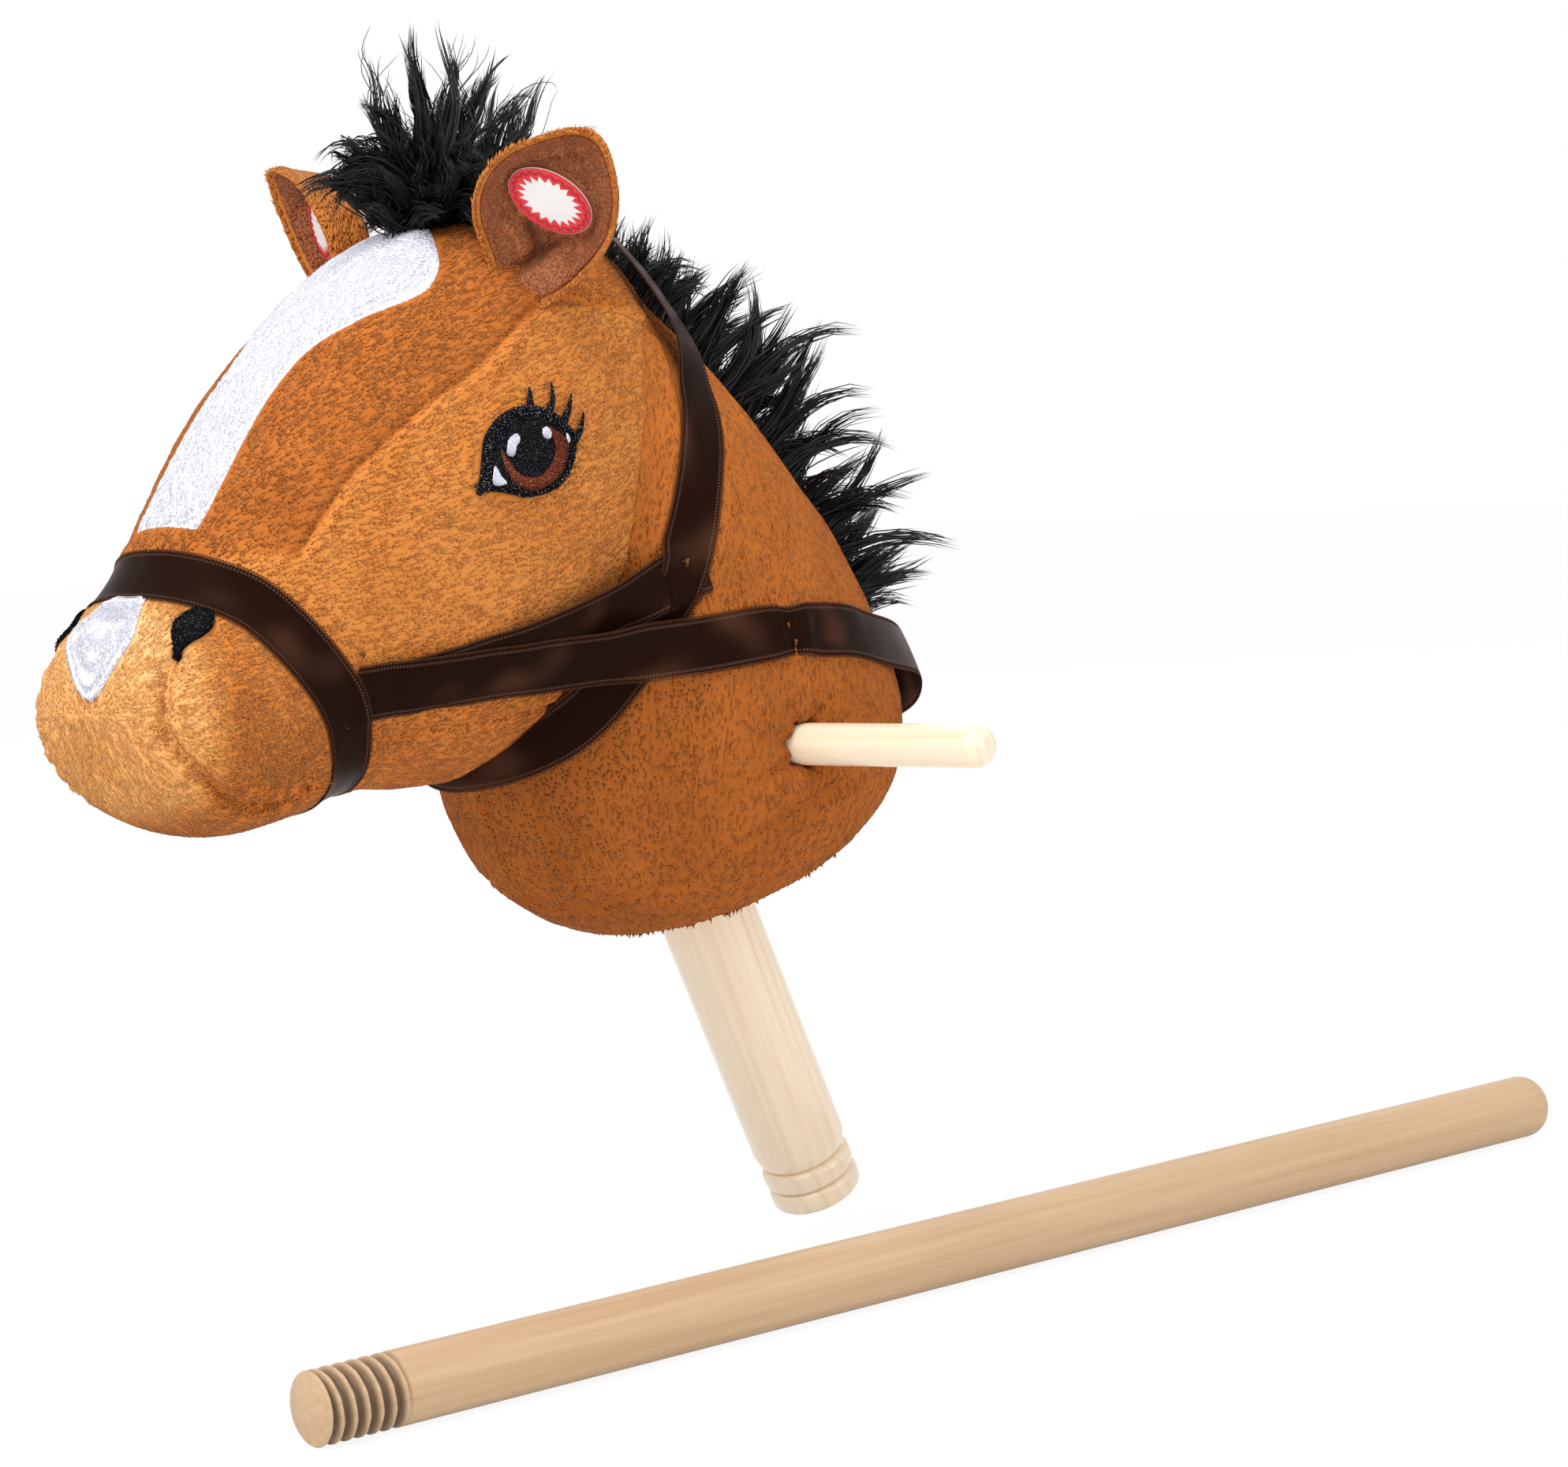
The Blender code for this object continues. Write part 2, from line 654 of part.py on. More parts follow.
def build_neck_tie():
    low = TIE_TOP - TIE_HEIGHT
    profile = [(TIE_INNER, TIE_TOP), (TIE_OUTER, TIE_TOP), (TIE_OUTER, low), (TIE_INNER, low)]
    profile.append(profile[0])
    tie = turned("neck_tie", profile, PLASTIC)
    tie.parent = STICK_FRAME


# Ears and their press switches
def ear_depth(fraction):
    """Depth of the cupped ear face, flat in the middle"""
    t = min(1.0, max(0.0, (fraction - EAR_FLAT_SHARE) / (1.0 - EAR_FLAT_SHARE)))
    return -EAR_DEPTH * (1.0 - t * t * (3.0 - 2.0 * t))


def ear_layer(side, fractions, depth_of):
    outline = smooth_path([(x, y, 0.0) for x, y in EAR_OUTLINE], EAR_STEP, closed=True)
    middle_x, middle_y = EAR_MIDDLE
    rings = []
    for fraction in fractions:
        ring = []
        for x, y, _ in outline:
            across = middle_x + (x - middle_x) * fraction
            up = middle_y + (y - middle_y) * fraction
            ring.append(ear_point(side, across, up, depth_of(fraction)))
        rings.append(ring)
    return rings, ear_point(side, middle_x, middle_y, depth_of(0.0))


def two_layer_solid(name, front, front_centre, back, back_centre, material):
    """Closed solid between two layers of rings that end in the same number of points"""
    bm = bmesh.new()
    loops = []
    for centre, rings in ((front_centre, front), (back_centre, back)):
        hub = bm.verts.new(centre)
        layer = [[bm.verts.new(p) for p in ring] for ring in rings]
        count = len(layer[0])
        for i in range(count):
            bm.faces.new((hub, layer[0][i], layer[0][(i + 1) % count]))
        for first, second in zip(layer, layer[1:]):
            for i in range(count):
                j = (i + 1) % count
                bm.faces.new((first[i], second[i], second[j], first[j]))
        loops.append(layer[-1])
    count = len(loops[0])
    for i in range(count):
        j = (i + 1) % count
        bm.faces.new((loops[0][i], loops[1][i], loops[1][j], loops[0][j]))
    bmesh.ops.recalc_face_normals(bm, faces=bm.faces)
    return new_object(name, mesh_from(bm, name), material)


def build_ear(side, head_cutter):
    label_spot = ear_point(side, *LABEL_CENTRE, 0.0)
    right, up, outward = ear_axes(side)

    def back_depth(fraction):
        return ear_depth(fraction) - EAR_RIM - (EAR_THICKNESS - EAR_RIM) * (1 - fraction ** 3)

    front, front_hub = ear_layer(side, EAR_RINGS + (1.0,), ear_depth)
    back, back_hub = ear_layer(side, EAR_RINGS + (1.0,), back_depth)
    ear = two_layer_solid("ear_" + side_name(side), front, front_hub, back, back_hub, TAN)
    lining_back, lining_hub = ear_layer(side, EAR_RINGS, lambda f: ear_depth(f) + GAP)
    lining_front, lining_top = ear_layer(side, EAR_RINGS, lambda f: ear_depth(f) + GAP + LINING_THICKNESS)
    name = side_name(side)
    lining = two_layer_solid("ear_lining_" + name, lining_front, lining_top, lining_back, lining_hub, BROWN)
    frame = placed(label_spot, outward, right)
    well_floor = -EAR_DEPTH - SWITCH_HEIGHT - 2 * GAP
    well = rod_cutter("switch_well_" + name, SWITCH_RADIUS + GAP, 5.0, well_floor, 16, frame)
    hole = rod_cutter("stem_hole_" + name, STEM_RADIUS + 0.5, 5.0, -20.0, 16, frame)
    channel = bpy.data.objects["lead_channel_" + name]
    cut(ear, well)
    cut(ear, channel)
    cut(ear, head_cutter)
    cut(lining, hole)
    cut(lining, head_cutter)
    bake_modifiers(ear)
    bake_modifiers(lining)
    build_switch(side, frame)
    return ear, lining


def build_switch(side, frame):
    """Housing, spring, push piece and oval label, stacked along the way the label is pressed"""
    name = side_name(side)
    top = -EAR_DEPTH - GAP
    floor = top - SWITCH_HEIGHT
    bore = SWITCH_RADIUS - SWITCH_WALL
    cup_floor = floor + SWITCH_FLOOR
    housing = [(bore, top), (SWITCH_RADIUS, top), (SWITCH_RADIUS, floor), (0.0, floor), (0.0, cup_floor),
               (bore, cup_floor), (bore, top)]
    switch = turned("ear_switch_" + name, housing, PLASTIC, 16, frame)
    notch = tube("lead_notch_" + name, lead_route(side)[-3:], LEAD_DIAMETER / 2 + 0.4, cutter=True)
    cut(switch, notch)
    bake_modifiers(switch)
    label_back = -EAR_DEPTH + GAP + LINING_THICKNESS + PRESS_TRAVEL + 0.2
    stem_top = label_back - GAP
    flange_top = top - 0.1
    flange_low = flange_top - FLANGE_THICKNESS
    plunger = [(0.0, stem_top), (STEM_RADIUS, stem_top), (STEM_RADIUS, flange_top),
               (FLANGE_RADIUS, flange_top), (FLANGE_RADIUS, flange_low), (0.0, flange_low)]
    turned("ear_plunger_" + name, plunger, PLASTIC, 16, frame)
    spring_low = cup_floor + GAP + SPRING_WIRE + 0.05
    spring_rise = flange_low - GAP - SPRING_WIRE - 0.05 - spring_low
    coil = []
    for k in range(8 * SPRING_TURNS + 1):
        angle = math.tau * k / 8
        height = spring_low + spring_rise * k / (8 * SPRING_TURNS)
        coil.append(Vector((SPRING_RADIUS * math.cos(angle), SPRING_RADIUS * math.sin(angle), height)))
    tube("switch_spring_" + name, [to_world(frame, p) for p in coil], SPRING_WIRE, STEEL, sides=0)
    build_label(side, frame, label_back)


def to_world(frame, point):
    return (frame @ (point * MM)) / MM


def build_label(side, frame, height):
    bm = bmesh.new()
    shape = Matrix.Diagonal((LABEL_LENGTH / 2, LABEL_WIDTH / 2, 1.0, 1.0))
    lift = Matrix.Translation((0, 0, height + LABEL_THICKNESS / 2))
    turn = Matrix.Rotation(math.radians(LABEL_TURN * side), 4, "Z")
    bmesh.ops.create_cone(bm, cap_ends=True, segments=28, radius1=1.0, radius2=1.0,
                          depth=LABEL_THICKNESS, matrix=lift @ turn @ shape)
    label = new_object("ear_label_" + side_name(side), mesh_from(bm, "ear_label"), LABEL_RED)
    label.matrix_world = frame


# Surface that the trims lie on
class Skin:
    """Outer surface of the stuffed forms, in world millimetres"""

    def __init__(self, objects):
        points, faces = [], []
        depsgraph = bpy.context.evaluated_depsgraph_get()
        for obj in objects:
            held = obj.evaluated_get(depsgraph)
            mesh = held.to_mesh()
            base = len(points)
            points += [held.matrix_world @ v.co / MM for v in mesh.vertices]
            faces += [[base + i for i in p.vertices] for p in mesh.polygons]
            held.to_mesh_clear()
        self.tree = BVHTree.FromPolygons(points, faces)

    def nearest(self, point):
        spot, normal, _, _ = self.tree.find_nearest(point)
        return spot, normal

    def lifted(self, point, lift):
        """Point moved out until it stands off the surface by the lift"""
        spot, normal = self.nearest(point)
        height = (point - spot).dot(normal)
        return point + normal * (lift - height)

    def along(self, start, direction):
        return self.tree.ray_cast(start, direction)


def ribbon(name, skin, guide, width, layer, material, closed=False):
    """Flat ribbon along a guide of (x, y, z, extra lift) points, three points wide"""
    path = smooth_path(guide, RIBBON_STEP, closed)
    lift = RIBBON_LIFT + layer * RIBBON_LAYER
    count = len(path)
    centres, normals = [], []
    for x, y, z, extra in path:
        spot, normal = skin.nearest(Vector((x, y, z)))
        centres.append(spot)
        normals.append(normal)
    for _ in range(3):
        normals = [v.normalized() for v in relaxed(normals, closed)]
    for _ in range(2):
        centres = relaxed(centres, closed)
    rows = []
    for k in range(count):
        near = around(k, count, closed)
        tangent = (centres[near[-1]] - centres[near[0]]).normalized()
        sideways = tangent.cross(normals[k]).normalized()
        row = []
        for share in (-0.5, 0.0, 0.5):
            point = skin.lifted(centres[k] + sideways * width * share, lift)
            row.append(point + normals[k] * path[k][3])
        rows.append(row)
    return strip(name, rows, normals, material, closed)


def relaxed(values, closed):
    """Each value drawn towards its neighbours; the ends of an open row stay"""
    count = len(values)
    kept = []
    for k in range(count):
        before, after = around(k, count, closed)[0], around(k, count, closed)[-1]
        if closed or 0 < k < count - 1:
            kept.append((values[before] + values[k] * 2 + values[after]) / 4)
        else:
            kept.append(values[k])
    return kept


def around(k, count, closed):
    if closed:
        return [(k - 1) % count, k, (k + 1) % count]
    return [max(k - 1, 0), k, min(k + 1, count - 1)]


def strip(name, rows, normals, material, closed):
    bm = bmesh.new()
    grid = [[bm.verts.new(p) for p in row] for row in rows]
    count = len(grid)
    for k in range(count if closed else count - 1):
        for m in range(len(grid[0]) - 1):
            a, b = grid[k][m], grid[(k + 1) % count][m]
            c, d = grid[(k + 1) % count][m + 1], grid[k][m + 1]
            bm.faces.new((a, b, c, d))
    bm.normal_update()
    bm.faces.ensure_lookup_table()
    if bm.faces[0].normal.dot(normals[0]) < 0:
        bmesh.ops.reverse_faces(bm, faces=bm.faces)
    obj = new_object(name, mesh_from(bm, name), material)
    solid = obj.modifiers.new("thickness", "SOLIDIFY")
    solid.thickness = RIBBON_THICKNESS * MM
    solid.offset = 1.0
    return obj


def mirrored(points):
    return [(-p[0], *p[1:]) for p in points]


def build_bridle(skin):
    middle = (NOSE_CUT_TOP + NOSE_CUT_LOW) / 2
    rise = (NOSE_CUT_TOP - NOSE_CUT_LOW) * NOSEBAND_SLACK / 2
    loop = []
    for k in range(NOSEBAND_POINTS):
        angle = math.tau * k / NOSEBAND_POINTS
        point = middle + Vector((math.cos(angle) * NOSE_HALF_WIDTH, 0, 0)) + rise * math.sin(angle)
        loop.append((*point, 0.0))
    ribbon("noseband", skin, loop, RIBBON_WIDTH, 1, SATIN, closed=True)
    crown = list(CROWN_PATH) + mirrored(reversed(CROWN_PATH[1:-1]))
    ribbon("crown_strap", skin, crown, RIBBON_WIDTH, 1, SATIN, closed=True)
    ribbon("cheek_strap_left", skin, CHEEK_PATH, NARROW_RIBBON_WIDTH, 0, SATIN)
    ribbon("cheek_strap_right", skin, mirrored(CHEEK_PATH), NARROW_RIBBON_WIDTH, 0, SATIN)
    rein = list(REIN_PATH) + mirrored(reversed(REIN_PATH[:-1]))
    ribbon("rein", skin, rein, RIBBON_WIDTH, 2, SATIN)


def patch(name, skin, centre, outward, across, outline, material, thickness=0.8, rings=(0.5, 1.0)):
    """Thin sewn patch: rings of an outline cast onto the skin"""
    across = Vector(across).normalized()
    outward = Vector(outward).normalized()
    up = outward.cross(across).normalized()
    count = len(outline)
    middle = Vector((sum(p[0] for p in outline) / count, sum(p[1] for p in outline) / count))

    def cast(x, y):
        start = Vector(centre) + across * x + up * y + outward * 60
        hit, normal, _, _ = skin.along(start, -outward)
        if hit is None:
            hit, normal = skin.nearest(start - outward * 60)
        return hit, normal

    hub, hub_normal = cast(*middle)
    layers = []
    for extra in (0.0, thickness):
        layer = []
        for share in rings:
            ring = []
            for x, y in outline:
                spot, normal = cast(middle.x + (x - middle.x) * share, middle.y + (y - middle.y) * share)
                ring.append(spot + normal * (PATCH_LIFT + extra))
            layer.append(ring)
        layers.append((layer, hub + hub_normal * (PATCH_LIFT + extra)))
    (back, back_hub), (front, front_hub) = layers
    return two_layer_solid(name, front, front_hub, back, back_hub, material)


def build_blaze(skin):
    """White stripe down the middle of the face, its half width given along the way"""
    path = smooth_path(BLAZE_PATH, 9.0)
    rows, normals = [], []
    for k, (x, y, z, half) in enumerate(path):
        near = around(k, len(path), False)
        tangent = (Vector(path[near[-1]][:3]) - Vector(path[near[0]][:3])).normalized()
        outward = Vector((1, 0, 0)).cross(tangent)
        if outward.z < 0:
            outward = -outward
        row = []
        for share in BLAZE_SHARES:
            start = Vector((half * share, y, z)) + outward * 40
            hit, normal, _, _ = skin.along(start, -outward)
            row.append(hit + normal * (GAP - 0.6))
        rows.append(row)
        normals.append(outward)
    blaze = strip("blaze_patch", rows, normals, WHITE, False)
    blaze.modifiers["thickness"].thickness = 2.0 * MM
    cut(blaze, bpy.data.objects["head_cutter"])


def ellipse(radius_x, radius_y, count, turn=0.0, centre=(0.0, 0.0)):
    turn = math.radians(turn)
    points = []
    for k in range(count):
        a = math.tau * k / count
        x, y = radius_x * math.cos(a), radius_y * math.sin(a)
        points.append((centre[0] + x * math.cos(turn) - y * math.sin(turn),
                       centre[1] + x * math.sin(turn) + y * math.cos(turn)))
    return points


def build_face_patches(skin):
    nose = patch("muzzle_patch", skin, (0, -238, 58), (0, -0.80, 0.60), (1, 0, 0), MUZZLE_PATCH, WHITE, 1.4)
    cut(nose, bpy.data.objects["head_cutter"])
    for side in (1, -1):
        patch("nostril_" + side_name(side), skin, (33 * side, -232, 60), (0.72 * side, -0.62, 0.32),
              (0.62 * side, 0.72, 0), ellipse(*NOSTRIL_RADII, 10, 35 * side), THREAD, 0.6, rings=(1.0,))
        patch("eye_" + side_name(side), skin, (58 * side, -104, 110), (0.9 * side, -0.4, 0.15),
              (0.4 * side, 0.9, 0), ellipse(*EYE_RADII, 16), THREAD)


# Long pile
def build_pile(cutters):
    rings = []
    for z, y, half_x, half_y in FORELOCK_RINGS:
        angles = [math.tau * k / PILE_POINTS for k in range(PILE_POINTS)]
        rings.append([Vector((half_x * math.cos(a), y + half_y * math.sin(a), z)) for a in angles])
    forelock = loft("forelock", rings, BLACK)
    rings = []
    for (root_y, root_z, half), (tip_y, tip_z) in zip(MANE_ROOT, MANE_TIP):
        root = Vector((0, root_y, root_z))
        tip = Vector((0, tip_y, tip_z))
        root = root - (tip - root).normalized() * 8
        ring = []
        for k in range(PILE_POINTS):
            a = math.tau * k / PILE_POINTS
            middle = (root + tip) / 2
            ring.append(middle + (tip - root) / 2 * math.sin(a) + Vector((half * math.cos(a), 0, 0)))
        rings.append(ring)
    mane = loft("mane", rings, BLACK)
    for obj in (forelock, mane):
        for cutter in cutters:
            cut(obj, cutter)
        bake_modifiers(obj)


# Stitches that hold the ribbons to each other
def build_tacks(skin):
    for side in (1, -1):
        for name, (x, y, z) in TACK_SPOTS:
            spot, normal = skin.nearest(Vector((x * side, y, z)))
            height = RIBBON_LIFT + 2 * RIBBON_LAYER + RIBBON_THICKNESS + TACK_HEIGHT
            turn = Vector((0, 0, 1)).rotation_difference(normal).to_matrix().to_4x4()
            shape = Matrix.Diagonal((TACK_RADIUS, TACK_RADIUS, TACK_HEIGHT, 1.0))
            bm = bmesh.new()
            lift = Matrix.Translation(spot + normal * (height + TACK_HEIGHT))
            bmesh.ops.create_uvsphere(bm, u_segments=8, v_segments=5, radius=1.0, matrix=lift @ turn @ shape)
            full_name = "%s_%s" % (name, side_name(side))
            new_object(full_name, mesh_from(bm, full_name), SEWING)


# Sound unit behind the stick
def build_sound_unit():
    left, right = -BOX_WIDTH / 2, BOX_WIDTH / 2
    low, high = BOX_BOTTOM, BOX_BOTTOM + BOX_HEIGHT
    front = BOX_FRONT
    cover_back = front + BOX_DEPTH
    cover_front = cover_back - COVER_THICKNESS
    case_back = cover_front - GAP
    case = box("sound_box_case", (left, front, low), (right, case_back, high), PLASTIC)
    inside = box("sound_box_inside", (left + BOX_WALL, front + BOX_WALL, low + BOX_WALL),
                 (right - BOX_WALL, case_back + 5, high - BOX_WALL), cutter=True)
    cut(case, inside)
    for side in (1, -1):
        exit_place = stick_placed(12 * side, 30, high)
        cut(case, rod_cutter("case_lead_hole_" + side_name(side), 1.5, 10.0, -10.0, 12, exit_place))
    bake_modifiers(case)
    cover = box("sound_box_cover", (left, cover_front, low), (right, cover_back, high), PLASTIC)
    middle = (low + high) / 2
    reach_x, reach_z = right - SCREW_INSET, BOX_HEIGHT / 2 - SCREW_INSET
    corners = [(sx * reach_x, middle + sz * reach_z) for sx in (-1, 1) for sz in (-1, 1)]
    back_way = (0, 1, 0)
    for number, (x, z) in enumerate(corners):
        post_top = case_back - 0.4
        spot = stick_placed(x, 0, z, back_way)
        post = [(0, post_top), (POST_RADIUS, post_top), (POST_RADIUS, front + 0.8), (0, front + 0.8)]
        join(case, turned("post_%d" % number, post, PLASTIC, 12, spot))
        cut(case, rod_cutter("pilot_%d" % number, PILOT_RADIUS, case_back + 2, case_back - 9, 12, spot))
        step = cover_back - SUNK_DEPTH
        sunk = [(0, cover_back + 1), (SUNK_RADIUS, cover_back + 1), (SUNK_RADIUS, step), (PILOT_RADIUS, step),
                (PILOT_RADIUS, cover_front - 1), (0, cover_front - 1)]
        cut(cover, turned("sunk_hole_%d" % number, sunk, None, 12, spot, cutter=True))
    speaker_up = high - BOX_WALL - SPEAKER_RADIUS - 4.4
    for number in range(7):
        reach = 0.0 if number == 6 else GRILLE_REACH
        angle = math.tau * number / 6
        spot = stick_placed(reach * math.cos(angle), 0, speaker_up + reach * math.sin(angle), back_way)
        cut(cover, rod_cutter("grille_%d" % number, GRILLE_HOLE, cover_back + 1, cover_front - 1, 8, spot))
    bake_modifiers(case)
    bake_modifiers(cover)
    build_box_screws(corners, cover_back, back_way)
    face = cover_front - GAP
    profile = [(0, face - 2.5), (9, face - 1.0), (SPEAKER_RADIUS - 1.5, face), (SPEAKER_RADIUS, face),
               (SPEAKER_RADIUS, face - 2), (7, face - 5), (7, face - 9), (0, face - 9)]
    turned("speaker", profile, CONE_BLACK, 20, stick_placed(0, 0, speaker_up, back_way))
    board = box("circuit_board", (-18, front + 3.0, low + 16), (18, front + 4.6, high - 10), BOARD_GREEN)
    chip = box("chip", (-5, front + 4.0, low + 24), (5, front + 6.4, low + 32), CONE_BLACK)
    join(board, chip)
    build_cells(front + 9.0, low + 8.5)


def build_box_screws(corners, cover_back, way):
    top = cover_back - 0.1
    tip = top - SCREW_LENGTH
    profile = [(0.0, top), (SCREW_HEAD_RADIUS, top), (SCREW_HEAD_RADIUS, top - 0.9),
               (SCREW_RADIUS, top - 1.1), (SCREW_RADIUS, tip), (0.0, tip)]
    for number, (x, z) in enumerate(corners, 1):
        turned("box_screw_%d" % number, profile, STEEL, 12, stick_placed(x, 0, z, way))


def build_cells(back, up):
    """Three button cells side by side, and a contact plate at each end of the row"""
    for number, place in enumerate((-1, 0, 1), 1):
        x = place * (CELL_THICKNESS + 0.4)
        half = CELL_THICKNESS / 2
        profile = [(0.0, half), (4.6, half), (CELL_RADIUS, half - 1.0), (CELL_RADIUS, -half), (0.0, -half)]
        turned("button_cell_%d" % number, profile, STEEL, 16, stick_placed(x, back, up, (1, 0, 0), (0, 1, 0)))
    for side in (1, -1):
        x = side * (1.5 * CELL_THICKNESS + 1.0)
        low, high = (x - 0.25, back - 4.5, up - 5.0), (x + 0.25, back + 4.5, up + 5.0)
        box("cell_contact_" + side_name(side), low, high, STEEL)


def build_leads():
    for side in (1, -1):
        route = lead_route(side)
        tube("switch_lead_" + side_name(side), route, LEAD_DIAMETER / 2, LEAD_RED, sides=1)


def main():
    build_upper_stick()
    build_handle_bar()
    build_lower_pole()
    build_plush()
    build_neck_tie()
    head_cutter = loft("head_cutter", head_rings(GAP), None, cutter=True)
    neck_cutter = bpy.data.objects["neck_cutter"]
    for side in (1, -1):
        build_ear(side, head_cutter)
    skin = Skin((head_cutter, neck_cutter))
    build_bridle(skin)
    build_blaze(skin)
    build_face_patches(skin)
    build_pile((head_cutter, neck_cutter))
    build_tacks(skin)
    build_sound_unit()
    build_leads()


main()
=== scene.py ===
"""Dressed model of a plush stick horse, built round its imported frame.

The horse faces -Y, its left side is +X and +Z is up. Sizes are written in millimetres
and scaled on creation, and every piece has its place in its mesh.
"""
import json
import math

import bmesh
import bpy
import numpy as np
from bpy.props import FloatProperty, FloatVectorProperty, IntProperty, PointerProperty
from mathutils import Matrix, Vector, noise
from mathutils.bvhtree import BVHTree
from mathutils.kdtree import KDTree

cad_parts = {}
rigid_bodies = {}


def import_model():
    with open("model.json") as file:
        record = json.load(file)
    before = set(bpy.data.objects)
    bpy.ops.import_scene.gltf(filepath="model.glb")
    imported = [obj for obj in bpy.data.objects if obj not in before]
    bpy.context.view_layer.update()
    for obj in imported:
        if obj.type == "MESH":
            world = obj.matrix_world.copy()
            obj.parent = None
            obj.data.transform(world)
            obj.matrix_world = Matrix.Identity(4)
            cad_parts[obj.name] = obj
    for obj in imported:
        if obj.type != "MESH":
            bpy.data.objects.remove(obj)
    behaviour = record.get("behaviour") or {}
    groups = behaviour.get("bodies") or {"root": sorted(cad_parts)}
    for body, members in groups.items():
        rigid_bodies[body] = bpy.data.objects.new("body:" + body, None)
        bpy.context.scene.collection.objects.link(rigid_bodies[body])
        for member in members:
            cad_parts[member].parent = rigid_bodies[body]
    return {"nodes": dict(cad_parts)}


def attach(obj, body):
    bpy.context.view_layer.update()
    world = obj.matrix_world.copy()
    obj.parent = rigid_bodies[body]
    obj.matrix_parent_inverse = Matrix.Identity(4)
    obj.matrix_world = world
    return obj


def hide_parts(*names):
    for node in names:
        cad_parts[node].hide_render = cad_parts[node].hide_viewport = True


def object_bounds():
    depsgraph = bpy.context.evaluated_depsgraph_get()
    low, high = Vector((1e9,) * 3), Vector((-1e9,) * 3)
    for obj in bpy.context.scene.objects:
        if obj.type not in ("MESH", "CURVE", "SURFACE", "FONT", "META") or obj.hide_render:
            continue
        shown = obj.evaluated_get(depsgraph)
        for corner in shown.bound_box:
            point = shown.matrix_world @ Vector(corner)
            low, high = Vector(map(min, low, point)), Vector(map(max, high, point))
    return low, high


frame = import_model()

bl_info = {
    "name": "Plush Stick Horse",
    "version": (1, 0, 0),
    "blender": (4, 5, 0),
    "location": "3D View > Sidebar > Stick Horse",
    "description": "Plush, ribbons, hair and turned wood for a stick horse, built round its frame",
    "category": "Add Mesh",
}

MM = 0.001
CAD_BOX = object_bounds()
HORSE = "head_and_stick"
LOOSE_POLE = "loose_pole"
SIDES = {1: "left", -1: "right"}

# Camera
CAMERA_PLACE = (1000.5, -1028.2, 122.4)
CAMERA_BACK = (0.668, -0.7393, 0.0854)
CAMERA_TURN, CAMERA_ROLL = 42.1, -3.80
LENS, SENSOR = 90.54, 36.0

# Name, place and target in metres, size and power of each light
LIGHTS = (
    ("key", (0.2, -1.9, 1.7), (0.0, -0.05, 0.0), 1.4, 34.0),
    ("fill", (2.2, 0.2, 0.7), (0.0, 0.0, 0.0), 1.6, 14.0),
    ("top", (0.25, -0.5, 1.7), (0.0, -0.05, 0.0), 0.5, 12.0),
    ("rim", (-1.2, 1.6, 1.6), (0.0, 0.0, 0.05), 1.2, 10.0),
)
WORLD_STRENGTH, FLOOR_SIZE = 0.6, 12.0

# Stick, hand bar and lower pole
STICK_LEAN = 24.0
STICK_RADIUS = 18.0
STICK_ABOVE_BAR, STICK_BELOW_BAR = 112.0, 200.0
BEAD_RADIUS, BEAD_HEIGHT = 17.5, 9.0
SOCKET_RADIUS, SOCKET_DEPTH = 12.9, 36.0
THREAD_PITCH, THREAD_DEPTH, THREAD_LENGTH = 5.0, 2.4, 31.0
BAR_RADIUS, BAR_LENGTH, BAR_DOME = 7.5, 328.0, 5.5
POLE_RADIUS, POLE_LENGTH, POLE_YAW = 12.5, 597.0, 9.0
POLE_START = (47.7, -221.0, -190.0)
FOOT_ROUNDING = 7.0
LATHE_SIDES = 72
THIRDS = (0.0, math.tau / 3, 2 * math.tau / 3)
THREAD_ROW = 0.5
ARC_ROWS = 6

# Seams of the plush on the left side
FOREHEAD_SEAM = (
    (47.8, -53.7, 156.3), (48.2, -80.6, 158.4), (51.4, -103.4, 147), (52.2, -119.7, 137.1), (50.7, -133.4, 129.9),
    (48.5, -146.1, 122.9), (46.2, -158.8, 113.9), (43.5, -171.2, 104), (41.8, -180.9, 93.2), (39.7, -190.2, 82.5),
)
REAR_CHEEK_SEAM = (
    (46.7, -44.8, 156.1), (46.3, -35, 151), (45.7, -25.1, 144.7), (49.6, -24, 136.7), (53.8, -25.3, 127.8),
    (58, -28, 110), (60, -34, 90),
)
JAW_SEAM = ((37.5, -153.4, 20.0), (41.1, -135.3, 20.1), (43.1, -115.4, 20.7), (42.1, -95.7, 21.8), (32.9, -67.5, 21.6))
NECK_FRONT_SEAM = (
    (14, -74, 6), (14.2, -70.1, -1.8), (13.7, -66.1, -18.1), (14.1, -59.8, -33.3), (14.9, -50.2, -47.5),
    (6.8, -47.1, -52.2), (1.4, -43.7, -56.1),
)
BASE_SEAM = (
    (0, -44, -56), (8, -44.3, -54.9), (26, -44.1, -50.3), (40.8, -40.2, -45.8), (51.8, -32.3, -44.6),
    (66.3, -25.7, -33.6), (76.4, -13.5, -26.5), (83.8, 2.4, -18), (85.8, 13.3, -13.1), (78, 46, 2),
    (52, 74, 16), (24, 88, 22), (0, 92, 24),
)
MOUTH_SEAM = (
    (29.8, -235.8, 53), (29.6, -239.1, 49.6), (30.7, -241.7, 45.4), (31.7, -243.8, 38.4), (31.7, -244, 31),
    (33.6, -240.1, 22.6), (34.9, -236.7, 18.5), (35.6, -232.7, 14), (34.7, -227.3, 9.4), (33, -221.1, 4.6),
    (32.8, -213.3, 2.6), (32.2, -199.9, 2), (33.6, -187.2, 6.6),
)
BAR_PUCKER = ((82.9, -9.0, -4.5), (80.7, -15.2, -7.9), (77.4, -20.5, -11.2))

